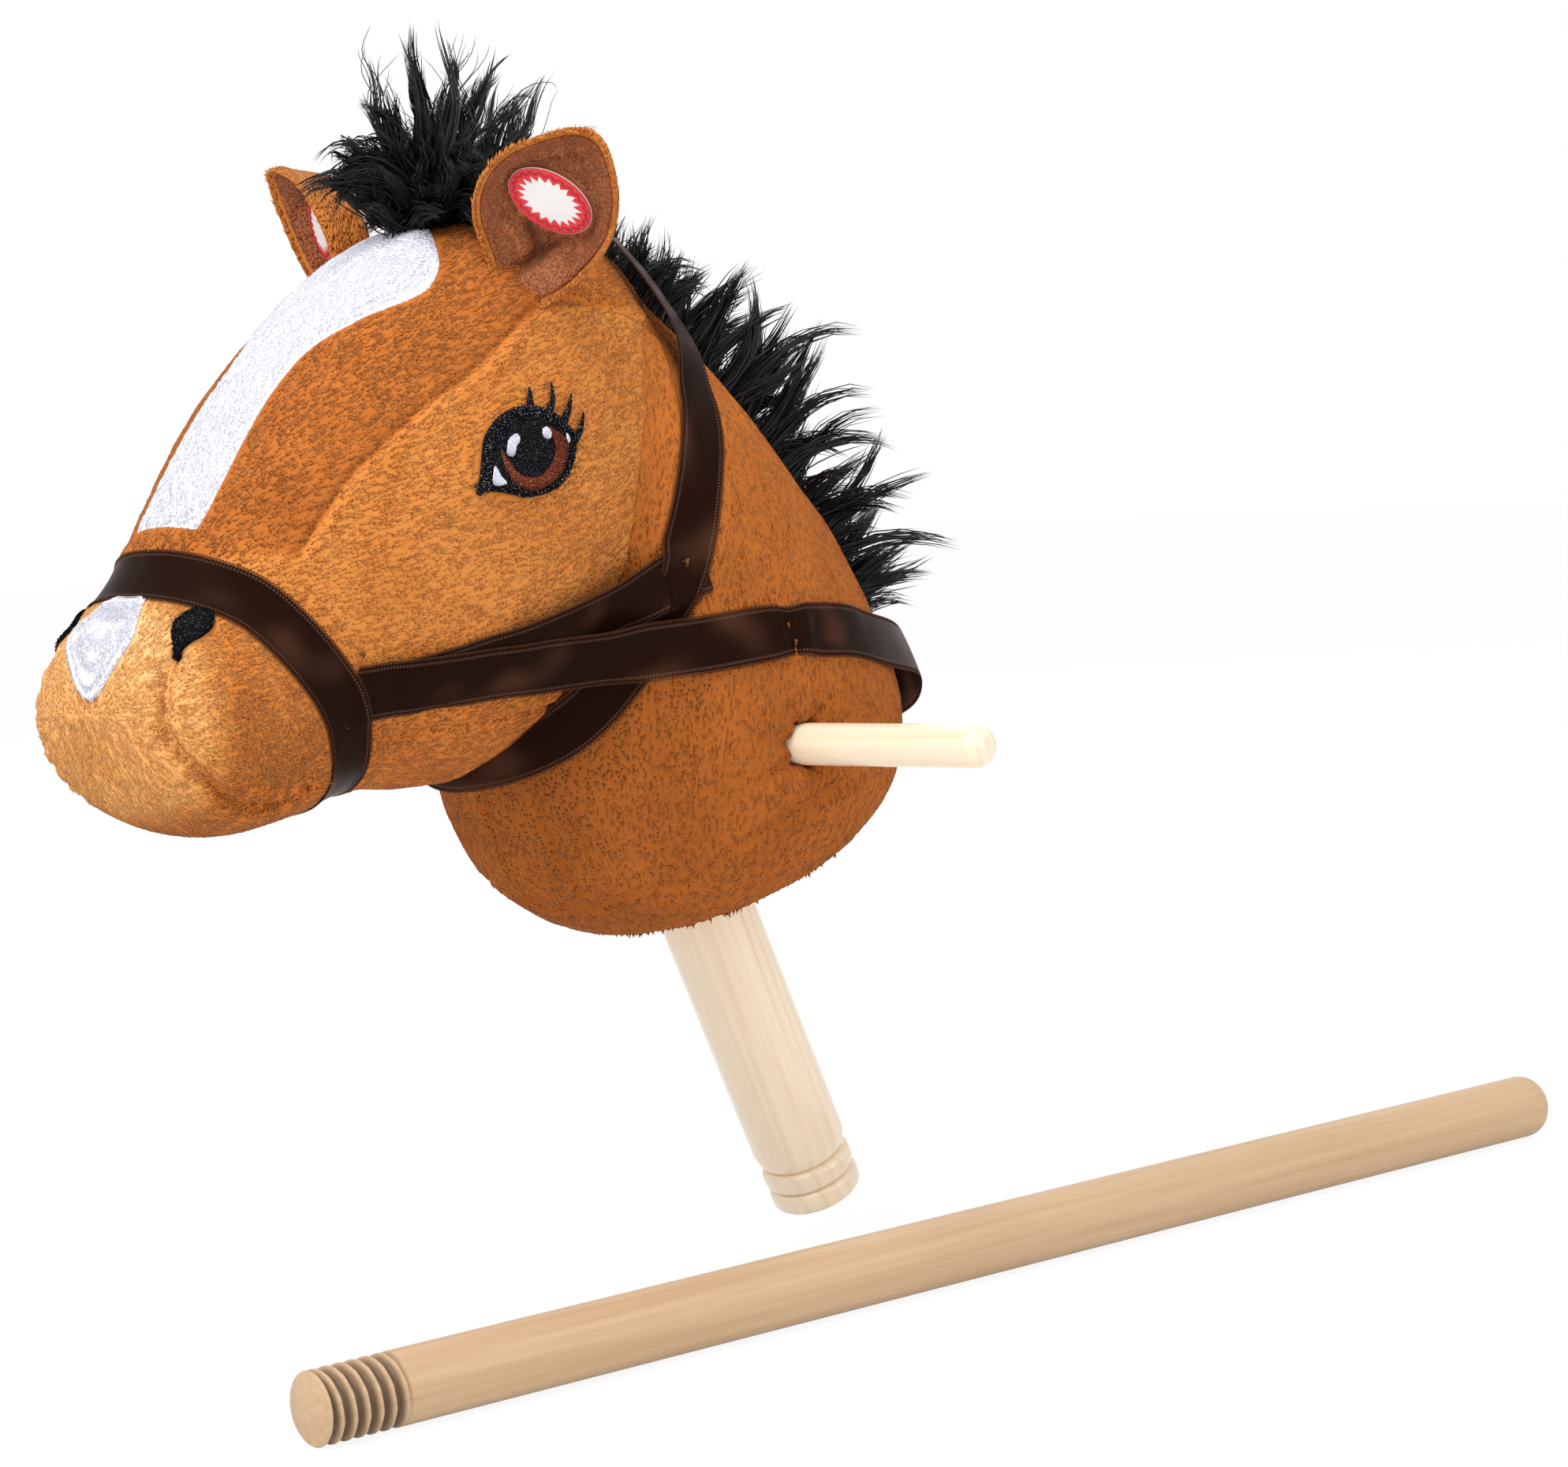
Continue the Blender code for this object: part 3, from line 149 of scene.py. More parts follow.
# Bridle guides on the left side, where the ribbons are tight, and how far they stand off there
CROWN_PATH = (
    (0, -20, 192, 0), (24, -26, 185, 0), (43, -24, 166, 0), (50, -14, 143, 0), (57, -16, 121, 0), (62.5, -23.5, 102, 0),
    (64.5, -29.5, 87, 0), (65, -33, 78, 0), (64.5, -37, 69, 0), (63.5, -41, 61, 0), (61.5, -45, 54, 0),
    (58.5, -51, 44, -0.3), (54.5, -60, 33, -1), (48.5, -69, 21.5, -1), (38.5, -78.5, 11.5, -1), (23, -88.5, 5, -1),
    (9, -94, 2.5, -1), (0, -95, 2, -1),
)
CHEEK_PATH = (
    (48, -156, 35.5, 0), (53, -140, 37.5, 0), (58.5, -115, 42.5, 0), (61.5, -92, 48, 0), (63, -68, 54.5, 0),
    (64.5, -54, 58.5, 0), (66, -42, 63, 0), (67.5, -31, 65, 0),
)
REIN_PATH = (
    (42, -174, 35.3, 0), (45, -164, 35.6, 0), (52, -132, 36.2, 0), (59, -100, 37, 0), (66, -66, 37.8, 0),
    (72, -35, 38.6, 0), (77.5, -14, 40, 0), (80, -2, 40, 0), (81, 12, 38.8, 0), (80, 28, 37.4, 0), (74, 50, 32, 2),
    (54, 88, 24, 5), (28, 116, 12, 8), (0, 130, 4, 9),
)
NOSE_PATH = (
    (0, -224, 77.6, 0), (12.5, -222.4, 76.8, 0), (24.4, -218.6, 74.2, 0), (35.6, -209.4, 68, 0),
    (42.3, -200.2, 57.2, 0), (44.6, -189.8, 44.6, 0), (43.8, -180, 31.8, 0), (40, -175, 20.3, 0),
    (33, -171, 10, 0), (22, -167, 2, 0), (10, -164.5, -2.5, 0), (0, -164, -4, 0),
)
RIBBON_THICKNESS, RIBBON_LIFT, RIBBON_STEP, RIBBON_SHARES = 0.5, 0.7, 1.2, 13
# Width that the weave map spreads over, in metres, and the angle of a ribbon's edges
WEAVE_WIDTH, RIBBON_CREASE = 0.018, 50
REIN_PINCH, CROWN_PINCH = Vector((80.0, -3.2, 38.0)), Vector((64.5, -39.0, 66.0))

# White stripe: x, y, z of its middle, and its half width there
BLAZE_PATH = (
    (0, -99, 192, 10), (0, -104, 189, 17), (0, -115, 182, 29), (0, -126, 175, 33.5), (0, -138, 167, 30),
    (0, -149, 158, 24), (0, -160, 148, 17.5), (0, -172, 136, 15.5), (0, -188, 116, 16), (0, -202, 99, 16),
    (0, -209, 90, 15),
)
MUZZLE_PATCH = (
    (8.6, -228.8, 70.6), (-1.8, -229.2, 71.4), (-6.6, -231.4, 69.3), (-11.9, -234, 65.8), (-17.4, -235.9, 61.7),
    (-17, -240, 57.7), (-9.5, -246.6, 52.4), (-2, -250, 46), (4.2, -251.7, 41.4), (9.4, -251.1, 42.4),
    (12.6, -248.3, 48.3), (14.1, -243.7, 54.6), (14.6, -240.2, 58.5), (12.4, -236, 63.9), (11, -232.5, 68.5),
)
NOSTRIL = (
    (24.6, -231.2, 61.9), (25.2, -227, 64.8), (28, -223.2, 66), (30.8, -221.2, 64.4), (32.6, -222.6, 61),
    (32.4, -226.4, 58.4), (31.2, -231, 56), (30.5, -233.6, 54.4), (30, -236.4, 52.2), (27.4, -235, 56.7),
)

# Eye, as marks on the left cheek
EYE_OUTLINE = (
    (58.4, -125.8, 106.9), (57.8, -123, 114.6), (58, -116.9, 120.5), (58.3, -110.3, 123.3),
    (59, -103.2, 124), (59.8, -95.7, 122), (60.5, -90, 118.6), (61.3, -85.6, 113.8), (61.6, -86.3, 107.5),
    (62.2, -90.5, 101.1), (62.7, -97.4, 96.2), (62, -109.1, 94.3), (60.9, -117.8, 96), (59.9, -124.8, 97.2),
    (59.1, -129.6, 96.4), (58.9, -127.4, 102.1),
)
IRIS_OUTER = (
    (60.8, -97.3, 116.5), (61.5, -90.2, 112.2), (61.9, -91.1, 106.4), (62.3, -94.7, 101.3), (62.4, -100.7, 97.7),
    (61.9, -108.2, 96.1), (61.1, -115.8, 99.5), (59.1, -119.7, 110.2),
)
IRIS_INNER = (
    (61.3, -98.2, 116), (61.8, -96.4, 111.5), (61.9, -96.6, 107.2), (62.1, -99.1, 104.2), (61.9, -103, 101.4),
    (61.8, -107.6, 100.3), (61.1, -113.4, 102.5), (59.6, -118.4, 110),
)
SCLERA = (
    (59.6, -121.8, 104.8), (60.2, -120.2, 101.5), (60.7, -118.7, 99.2), (59.9, -123.3, 98.9), (59.8, -123.0, 102.0),
)
GLINTS = (
    ((60, -115.8, 112.5), (59.7, -111.4, 115.6), (59.9, -110.2, 113.6), (60.1, -112.8, 110.6), (60.2, -114.4, 107.4),
     (60.1, -116.8, 108.4)),
    ((60.8, -98.4, 116.8), (61.1, -96.9, 114.6), (61.3, -98.4, 112.6), (61.2, -100.6, 113.2), (61, -101, 115.6)),
    ((61.4, -90.2, 114.4), (61.4, -89.3, 113.2), (61.6, -89.5, 110.6), (61.6, -90.3, 112)),
)
LASHES = (
    ((59, -103.2, 123), (58.4, -102.4, 126.4), (58, -101.7, 129.8)),
    ((59.8, -95.7, 121), (59, -92.8, 125.8), (58.4, -91.8, 130.8)),
    ((60.4, -90.3, 117.6), (59.7, -86.6, 121.6), (59.1, -83.9, 127)),
    ((61.2, -86.2, 111.6), (60.8, -82.4, 115), (60.2, -79.8, 120.6)),
)

# Ears
EAR_BASE = Vector((50.0, -83.0, 161.0))
EAR_UP = Vector((0.485, -0.065, 0.872))
EAR_TURN = 35.0
EAR_OUTLINE = (
    (-13, -7), (-21, 5), (-29.5, 18), (-31, 30), (-26.5, 42), (-16, 52),
    (-5, 59), (4, 60), (11, 53), (16.5, 41), (18, 28), (15, 17), (8, 4), (-2, -7),
)
EAR_MIDDLE = (-6.0, 29.0)
LABEL_CENTRE = (-6.5, 31.0)
LABEL_LENGTH, LABEL_WIDTH, LABEL_TURN = 31.0, 19.5, -12.0
LABEL_HEIGHT = -5.9
# Radius and height of the switch's cavity, from the back to the front
SWITCH_CAVITY = ((7.6, -15.7), (7.6, -9.1), (3.6, -9.05), (3.6, -4.0))
BURST_POINTS, OVAL_POINTS, LABEL_STITCHES = 20, 64, 44


# Working with objects
def deselect_all():
    if bpy.context.object and bpy.context.object.mode != "OBJECT":
        bpy.ops.object.mode_set(mode="OBJECT")
    bpy.ops.object.select_all(action="DESELECT")


def activate(obj):
    deselect_all()
    obj.select_set(True)
    bpy.context.view_layer.objects.active = obj


def edit(obj):
    """The object in edit mode with everything selected"""
    activate(obj)
    bpy.ops.object.mode_set(mode="EDIT")
    bpy.ops.mesh.select_all(action="SELECT")


def leave_edit():
    bpy.ops.object.mode_set(mode="OBJECT")


def face_outwards(obj):
    edit(obj)
    bpy.ops.mesh.normals_make_consistent(inside=False)
    leave_edit()
    return obj


def apply_modifier(obj, kind, **settings):
    activate(obj)
    modifier = obj.modifiers.new(kind.lower(), kind)
    for key, value in settings.items():
        setattr(modifier, key, value)
    bpy.ops.object.modifier_apply(modifier=modifier.name)


def linked(name, mesh):
    obj = bpy.data.objects.new(name, mesh)
    bpy.context.scene.collection.objects.link(obj)
    return obj


def joined(name, objects):
    activate(objects[0])
    for obj in objects:
        obj.select_set(True)
    if len(objects) > 1:
        bpy.ops.object.join()
    objects[0].name = name
    return objects[0]


def finished(obj, material, slot, body, *nodes):
    """Give a piece its material, body and the nodes that it stands for; the slot is not used"""
    obj.data.materials.clear()
    obj.data.materials.append(material)
    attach(obj, body)
    if nodes:
        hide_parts(*nodes)


def finish_all(slot, body, *pieces):
    """Finish pieces of one body, each given with its material and the nodes that it stands for; the slot is not used"""
    for obj, material, *nodes in pieces:
        finished(obj, material, slot, body, *nodes)


def tube_faces(base, rows, sides):
    """Faces of a closed tube whose rings of points follow each other from a base number on"""
    last = base + (rows - 1) * sides
    walls = [(base + k * sides + m, base + k * sides + (m + 1) % sides) for k in range(rows - 1) for m in range(sides)]
    ends = [tuple(range(base + sides - 1, base - 1, -1)), tuple(range(last, last + sides))]
    return [(a, b, b + sides, a + sides) for a, b in walls] + ends


def thread_solid(name, points, faces):
    """Smooth closed threads from points in millimetres"""
    mesh = bpy.data.meshes.new(name)
    mesh.from_pydata([tuple(p * MM) for p in points], [], faces)
    mesh.shade_smooth()
    return face_outwards(linked(name, mesh))


def array_mesh(name, points, faces):
    """Mesh from an array of points in millimetres and faces of equal corner count"""
    mesh = bpy.data.meshes.new(name)
    corners = faces.shape[1]
    mesh.vertices.add(len(points))
    mesh.vertices.foreach_set("co", (points * MM).astype(np.float32).ravel())
    mesh.loops.add(faces.size)
    mesh.loops.foreach_set("vertex_index", faces.astype(np.int32).ravel())
    mesh.polygons.add(len(faces))
    mesh.polygons.foreach_set("loop_start", np.arange(0, faces.size, corners, dtype=np.int32))
    mesh.update(calc_edges=True)
    return mesh


def set_corner_map(mesh, name, values):
    """UV map from an array with a row for each corner"""
    layer = mesh.uv_layers.new(name=name)
    layer.uv.foreach_set("vector", values.astype(np.float32).ravel())


def many_mesh(name, points, pattern, tones=None):
    """Mesh of many like solids, with the points of each in a row and u and v of each point as tones"""
    pattern = np.array(pattern)
    faces = (np.arange(len(points)) * points.shape[1])[:, None, None] + pattern
    mesh = array_mesh(name, points.reshape(-1, 3), faces.reshape(-1, 3))
    if tones:
        grid = np.stack(np.broadcast_arrays(*tones), axis=2)
        set_corner_map(mesh, "OFBake", grid[:, pattern.ravel()].reshape(-1, 2))
    return mesh


def points_of(mesh, field="co"):
    values = np.empty(len(mesh.vertices) * 3, dtype=np.float32)
    mesh.vertices.foreach_get(field, values)
    return values.reshape(-1, 3).astype(float)


def set_points(obj, places):
    """Move a piece's points to places in millimetres"""
    obj.data.vertices.foreach_set("co", (places * MM).astype(np.float32).ravel())
    obj.data.update()


def set_value(obj, name, values):
    """A value for each point, which a material reads"""
    layer = obj.data.attributes.new(name, "FLOAT", "POINT")
    layer.data.foreach_set("value", values.astype(np.float32))


def point_tree(places):
    """Tree of places in millimetres"""
    tree = KDTree(len(places))
    for k, place in enumerate(places):
        tree.insert(Vector(place), k)
    tree.balance()
    return tree


def unit_rows(rows):
    return rows / np.maximum(np.linalg.norm(rows, axis=1, keepdims=True), 1e-9)


def unit(row):
    return unit_rows(row[None])[0]


def level_rows(rows, normals):
    """Unit rows along what of the rows lies across their normals"""
    return unit_rows(rows - normals * (rows * normals).sum(axis=1, keepdims=True))


def swung(first, second, turn):
    """Way turned from the first towards the second"""
    return first * np.cos(turn) + second * np.sin(turn)


def bell(distance, width):
    """1 at no distance, falling off softly over a width"""
    return np.exp(-(distance / width) ** 2)


def smooth_share(low, high, value):
    t = min(1.0, max(0.0, (value - low) / (high - low)))
    return t * t * (3.0 - 2.0 * t)


def run_lengths(points):
    """Length of a path from its start to each of its points"""
    return np.concatenate([[0.0], np.cumsum(np.linalg.norm(np.diff(points, axis=0), axis=1))])


def read_rows(places, marks, rows):
    """Rows at places between the marks that they belong to"""
    return np.stack([np.interp(places, marks, rows[:, n]) for n in range(rows.shape[1])], axis=-1)


def smooth_path(points, step, closed=False):
    """Catmull-Rom curve through the points, cut into even steps; values past x, y, z ride along"""
    rows = np.array(points, dtype=float)
    count = len(rows)
    dense = []
    for k in range(count if closed else count - 1):
        a, b, c, d = (rows[n % count if closed else min(max(n, 0), count - 1)] for n in range(k - 1, k + 3))
        for t in np.arange(12) / 12:
            bend = (2 * a - 5 * b + 4 * c - d) * t * t + (3 * b - a - 3 * c + d) * t ** 3
            dense.append(0.5 * (2 * b + (c - a) * t + bend))
    dense.append(rows[0] if closed else rows[-1])
    dense = np.array(dense)
    lengths = run_lengths(dense[:, :3])
    wanted = np.linspace(0.0, lengths[-1], max(2, round(lengths[-1] / step)) + 1)
    return read_rows(wanted[:-1] if closed else wanted, lengths, dense)


def mirrored(points):
    return [(-p[0], *p[1:]) for p in points]


def both_sides(points):
    return (points, mirrored(points))


def on_side(side, points):
    return points if side > 0 else mirrored(points)


class Skin:
    """Outer surface of plush pieces, in millimetres"""

    def __init__(self, objects):
        points, faces = [], []
        for obj in objects:
            base = sum(len(p) for p in points)
            points.append(points_of(obj.data) / MM)
            faces += [[base + i for i in p.vertices] for p in obj.data.polygons]
        self.tree = BVHTree.FromPolygons([Vector(p) for p in np.concatenate(points)], faces)

    def nearest(self, point):
        spot, normal, _, _ = self.tree.find_nearest(Vector(point))
        return spot, normal

    def height(self, point):
        spot, normal = self.nearest(point)
        return (Vector(point) - spot).dot(normal)

    def lifted(self, point, lift):
        return Vector(point) + self.nearest(point)[1] * (lift - self.height(point))

    def pushed(self, point, lift):
        """The point, moved out where it lies closer to the skin than the lift"""
        return Vector(point) + self.nearest(point)[1] * max(0.0, lift - self.height(point))

    def cast(self, start, direction):
        spot, normal, _, _ = self.tree.ray_cast(Vector(start), Vector(direction))
        return spot, normal


class Lines:
    """Nearest distance and place along polylines, in millimetres"""

    def __init__(self, polylines, step=1.0):
        paths = [smooth_path(line, step)[:, :3] for line in polylines]
        self.along = np.concatenate([step * np.arange(len(path)) for path in paths])
        self.tree = point_tree(np.concatenate(paths))

    def measure(self, places):
        found = [self.tree.find(Vector(p)) for p in places]
        return np.array([away for _, _, away in found]), self.along[[k for _, k, _ in found]]


# Shader maths
def maths(operation, swapped=False):
    """Method that adds a Math node for a socket and, where there is one, a second value"""
    def method(self, *others):
        values = (*others, self) if swapped else (self, *others)
        return self.nodes.node("ShaderNodeMath", {"operation": operation}, dict(enumerate(values)))
    return method


class Socket:
    """Output of a shader node; arithmetic on it adds Math nodes"""
    __add__, __radd__ = maths("ADD"), maths("ADD", True)
    __sub__, __rsub__ = maths("SUBTRACT"), maths("SUBTRACT", True)
    __mul__, __pow__ = maths("MULTIPLY"), maths("POWER")
    sine, least, most = maths("SINE"), maths("MINIMUM"), maths("MAXIMUM")

    def __init__(self, nodes, socket):
        self.nodes = nodes
        self.socket = socket

    def step(self, low, high):
        """0 below low, 1 above high and smooth in between"""
        values = {"Value": self, "From Min": low, "From Max": high}
        return self.nodes.node("ShaderNodeMapRange", {"interpolation_type": "SMOOTHSTEP"}, values)


class Nodes:
    """Node tree of a material or of the world"""

    def __init__(self, tree):
        self.tree = tree

    def plug(self, slot, value):
        if isinstance(value, Socket):
            self.tree.links.new(value.socket, slot)
        elif slot.type == "RGBA" and len(value) == 3:
            slot.default_value = (*value, 1.0)
        else:
            slot.default_value = value

    def node(self, kind, settings=None, values=None, out=0):
        """Add a node with its settings, then the values or links of its inputs"""
        made = self.tree.nodes.new(kind)
        for key, value in (settings or {}).items():
            setattr(made, key, value)
        for key, value in (values or {}).items():
            self.plug(made.inputs[key], value)
        return Socket(self, made.outputs[out])

    def seen_directly(self):
        """1 for camera, mirror and glass rays, which see the plain white ground"""
        camera, glossy, through = (self.node("ShaderNodeLightPath", out=out) for out in (0, 3, 6))
        return camera.most(glossy).most(through)


class Paint(Nodes):
    """A material on its way, with its Principled shader"""

    def __init__(self, name, **constants):
        self.material = bpy.data.materials.new(name)
        self.material.use_nodes = True
        super().__init__(self.material.node_tree)
        self.shader = self.tree.nodes["Principled BSDF"]
        for key, value in constants.items():
            self.shader.inputs[key.replace("_", " ")].default_value = value

    def ramp(self, value, stops):
        """Colour between stops of linear colour"""
        colour = self.node("ShaderNodeValToRGB", {}, {"Fac": value})
        elements = colour.socket.node.color_ramp.elements
        while len(elements) < len(stops):
            elements.new(1.0)
        for element, (place, shade) in zip(elements, stops):
            element.position = place
            element.color = (*shade, 1.0)
        return colour

    def mix(self, factor, first, second):
        return self.node("ShaderNodeMix", {"data_type": "RGBA"}, {0: factor, 6: first, 7: second}, 2)

    def stretched(self, vector, scale, rotation=(0, 0, 0)):
        return self.node("ShaderNodeMapping", {}, {"Vector": vector, "Rotation": rotation, "Scale": scale})

    def place(self, scale=(1, 1, 1), rotation=(0, 0, 0)):
        """Object coordinates in metres, turned and stretched"""
        return self.stretched(self.node("ShaderNodeTexCoord", out=3), scale, rotation)

    def value(self, name):
        """Value that set_value gave each point"""
        return self.node("ShaderNodeAttribute", {"attribute_name": name}, out=2)

    def map(self, name):
        return self.node("ShaderNodeUVMap", {"uv_map": name})

    def grain(self, vector, scale, detail, roughness=0.5):
        values = {"Vector": vector, "Scale": scale, "Detail": detail, "Roughness": roughness}
        return self.node("ShaderNodeTexNoise", {}, values)

    def textile(self, vector, scale, detail):
        """Noise that is stretched along the cloth or the wood"""
        return self.grain(self.stretched(vector, scale), 1.0, detail)

    def parts(self, vector):
        """The three parts of a vector"""
        made = self.tree.nodes.new("ShaderNodeSeparateXYZ")
        self.plug(made.inputs[0], vector)
        return [Socket(self, out) for out in made.outputs]

    def bump(self, height, distance, strength):
        values = {"Height": height, "Distance": distance * MM, "Strength": strength}
        self.finish(Normal=self.node("ShaderNodeBump", {}, values))

    def finish(self, **values):
        for key, value in values.items():
            self.plug(self.shader.inputs[key.replace("_", " ")], value)


def linear(colour):
    """Linear colour of an sRGB colour given from 0 to 255"""
    return tuple(c / 12.92 / 255 if c <= 10.3 else ((c / 255 + 0.055) / 1.055) ** 2.4 for c in colour)


# Materials
TAN_STOPS = (
    (0.0, (120, 62, 22)), (0.3, (178, 100, 42)), (0.45, (200, 120, 54)), (0.62, (220, 146, 74)),
    (0.8, (238, 174, 106)), (1.0, (248, 204, 148)),
)
BROWN_STOPS = ((0.0, (84, 40, 22)), (0.5, (168, 98, 62)), (1.0, (212, 146, 104)))
WHITE_STOPS = ((0.0, (224, 226, 240)), (0.5, (236, 236, 250)), (1.0, (250, 250, 255)))


def ramp_stops(stops):
    return tuple((place, linear(colour)) for place, colour in stops)


def plush_material(name, stops):
    """Ground cloth under the pile, with short streaks along the nap"""
    paint = Paint(name, Roughness=0.95, Specular_IOR_Level=0.05)
    streaks = paint.grain(paint.place((900, 380, 620)), 1.0, 3.0, 0.6)
    broad = paint.grain(paint.place(), 45.0, 2.0)
    shade = paint.value("tone") * 0.92 + (streaks - 0.5) * 0.2 + (broad - 0.5) * 0.12 + 0.1
    paint.finish(Base_Color=paint.ramp(shade, ramp_stops(stops)))
    paint.bump(streaks + paint.grain(paint.place(), 700.0, 2.0) * 0.4, 0.3, 0.25)
    return paint.material


def pile_material(name, stops, gleam):
    """Pile tufts: the map's u is the tuft's tone and v runs from root to tip"""
    paint = Paint(name, Roughness=0.75, Specular_IOR_Level=0.12, Specular_Tint=(*gleam, 1.0))
    paint.finish(Sheen_Weight=0.12, Sheen_Roughness=0.4, Sheen_Tint=gleam)
    tone, height, _ = paint.parts(paint.map("OFBake"))
    # Darker at the root and lighter at the tip: painted shade deep in the pile
    shade = tone * 0.9 + height * 0.14 - 0.01
    paint.finish(Base_Color=paint.ramp(shade, ramp_stops(stops)))
    return paint.material


def hair_material():
    paint = Paint("long_black_hair", Specular_IOR_Level=0.3)
    tone, along, _ = paint.parts(paint.map("OFBake"))
    shade = paint.ramp(tone + along * 0.1, ((0.0, (0.0018, 0.0018, 0.002)), (1.0, (0.011, 0.0105, 0.0105))))
    paint.finish(Base_Color=shade, Roughness=0.3 + tone * 0.25)
    return paint.material


def satin_material(colour):
    """Dark satin with a fine slanted weave, a ribbed edge and broad painted highlights along the ribbon"""
    paint = Paint("dark_brown_satin", Specular_IOR_Level=0.022, Specular_Tint=(1.0, 0.62, 0.48, 1.0))
    weave = paint.map("weave")
    across, along, _ = paint.parts(weave)
    twill = (along * 6200.0 + across * 7600.0).sine() * 0.5 + 0.5
    ribs = (along * 5460.0).sine() * 0.5 + 0.5
    aside = across * across
    edge = aside.step(0.0000642, 0.0000672)
    selvedge = aside.step(0.0000560, 0.0000590) * (1.0 - aside.step(0.0000700, 0.0000730))
    # Broad soft bands along the ribbon where a highlight is painted into the colour
    painted_highlight_bands = paint.textile(weave, (34.0, 24.0, 1.0), 1.0)
    threads = paint.textile(weave, (700.0, 5000.0, 1.0), 2.0)
    worn = paint.grain(paint.place(), 40.0, 3.0)
    shade = threads * 0.4 + twill * 0.35 + worn * 0.2 + edge * ribs * 0.5
    cloth = paint.mix(shade.least(1.0), tuple(c * 0.35 for c in colour), tuple(c * 1.5 for c in colour))
    # Painted highlight: a pale brown mixed into the colour over those bands, more on the twill and threads
    painted_highlight = painted_highlight_bands.step(0.48, 0.9) * (0.3 + twill * 0.35 + threads * 0.45)
    cloth_with_painted_highlight = paint.mix(painted_highlight, cloth, linear((122, 80, 62)))
    paint.finish(Base_Color=paint.mix(selvedge * ribs * 0.4, cloth_with_painted_highlight, linear((120, 90, 78))))
    paint.finish(Roughness=0.24 + threads * 0.12 + worn * 0.08 + edge * 0.2)
    paint.bump(twill * 0.6 + threads * 0.5 + edge * ribs * 3.0, 0.08, 0.7)
    return paint.material


def picot_material(colour):
    paint = Paint("picot_thread", Roughness=0.5, Specular_IOR_Level=0.1, Specular_Tint=(1.0, 0.8, 0.7, 1.0))
    strand = paint.grain(paint.place(), 2600.0, 2.0)
    paint.finish(Base_Color=paint.mix(strand, tuple(c * 2.0 for c in colour), tuple(c * 8.0 for c in colour)))
    paint.bump(strand, 0.1, 0.6)
    return paint.material


def thread_material(name, dark, light, painted_glint, roughness, specular):
    """Embroidery thread: slanted rows with small glints painted into the colour as highlights, where it is also
    smoother
    """
    paint = Paint(name, Specular_IOR_Level=specular)
    rows = (paint.parts(paint.place((1, 1, 1), (0.5, 0.35, 0.0)))[2] * 9000.0).sine() * 0.5 + 0.5
    fine = paint.grain(paint.place(), 1500.0, 2.0)
    # Small spots that get a painted highlight colour and a lower roughness
    painted_glint_specks = paint.grain(paint.place(), 2400.0, 0.0).step(0.66, 0.74)
    laid = paint.mix(rows * 0.45 + fine * 0.45, dark, light)
    paint.finish(Base_Color=paint.mix(painted_glint_specks * 0.8, laid, painted_glint))
    paint.finish(Roughness=roughness - painted_glint_specks * 0.2)
    paint.bump(rows + fine * 0.6, 0.16, 0.8)
    return paint.material


# Dark and light thread colour, colour of the painted glints, roughness and specular level
THREADS = {
    "brown_stitches": ((62, 20, 10), (146, 70, 44), (224, 150, 128), 0.4, 0.05),
    "white_stitches": ((198, 202, 222), (250, 250, 255), (255, 255, 255), 0.5, 0.1),
    "sewing_thread": ((58, 34, 22), (132, 84, 46), (190, 140, 90), 0.5, 0.1),
}


def coloured_thread(name):
    *colours, roughness, specular = THREADS[name]
    return thread_material(name, *map(linear, colours), roughness, specular)


def wood_material(name, stops, turn, roughness, coat, line_strength):
    """Turned wood: faint streaks along the turned axis, soft cathedral lines and painted shade in a thread's grooves"""
    paint = Paint(name, Coat_Weight=coat, Coat_Roughness=0.08, Specular_IOR_Level=0.3)
    where = paint.place((1, 1, 1), turn)
    x, y, z = paint.parts(where)
    wander = paint.textile(where, (22, 22, 5), 1.0)
    streaks = paint.textile(where, (330, 330, 9), 4.0)
    pores = paint.textile(where, (2200, 2200, 90), 2.0)
    leaning = x + z * 0.045 + 0.004
    from_heart = (leaning * leaning + (y - 0.026) * (y - 0.026)) ** 0.5
    rings = (from_heart * 1500.0 + wander * 5.0).sine()
    lines = rings.step(0.35, 1.0) * line_strength
    shade = 0.36 + (streaks - 0.5) * 0.55 + (wander - 0.5) * 0.3 + lines * 0.3 + (pores - 0.5) * 0.12
    # Painted shade: the thread's grooves are mixed towards dark brown
    colour = paint.mix(paint.value("painted_groove_shade") * 0.85, paint.ramp(shade, ramp_stops(stops)), linear((58, 34, 20)))
    paint.finish(Base_Color=colour, Roughness=roughness + streaks * 0.1)
    paint.bump(pores * 0.6 + streaks * 0.4, 0.04, 0.4)
    return paint.material


LACQUERED_STOPS = ((0.0, (252, 238, 216)), (0.4, (243, 223, 194)), (0.7, (230, 203, 168)), (1.0, (200, 164, 122)))
SANDED_STOPS = ((0.0, (208, 180, 146)), (0.4, (192, 160, 124)), (0.7, (174, 140, 102)), (1.0, (142, 106, 68)))


def moulded_material(name, colour, roughness, metallic=0.0, grain=900.0):
    """Moulded or drawn surface with fine texture and slight wear"""
    paint = Paint(name, Metallic=metallic)
    fine = paint.grain(paint.place(), grain, 2.0)
    broad = paint.grain(paint.place(), 60.0, 3.0)
    darker = tuple(c * 0.82 for c in colour)
    paint.finish(Base_Color=paint.mix(broad, darker, colour), Roughness=roughness + (fine - 0.5) * 0.15)
    paint.bump(fine, 0.04, 0.4)
    return paint.material


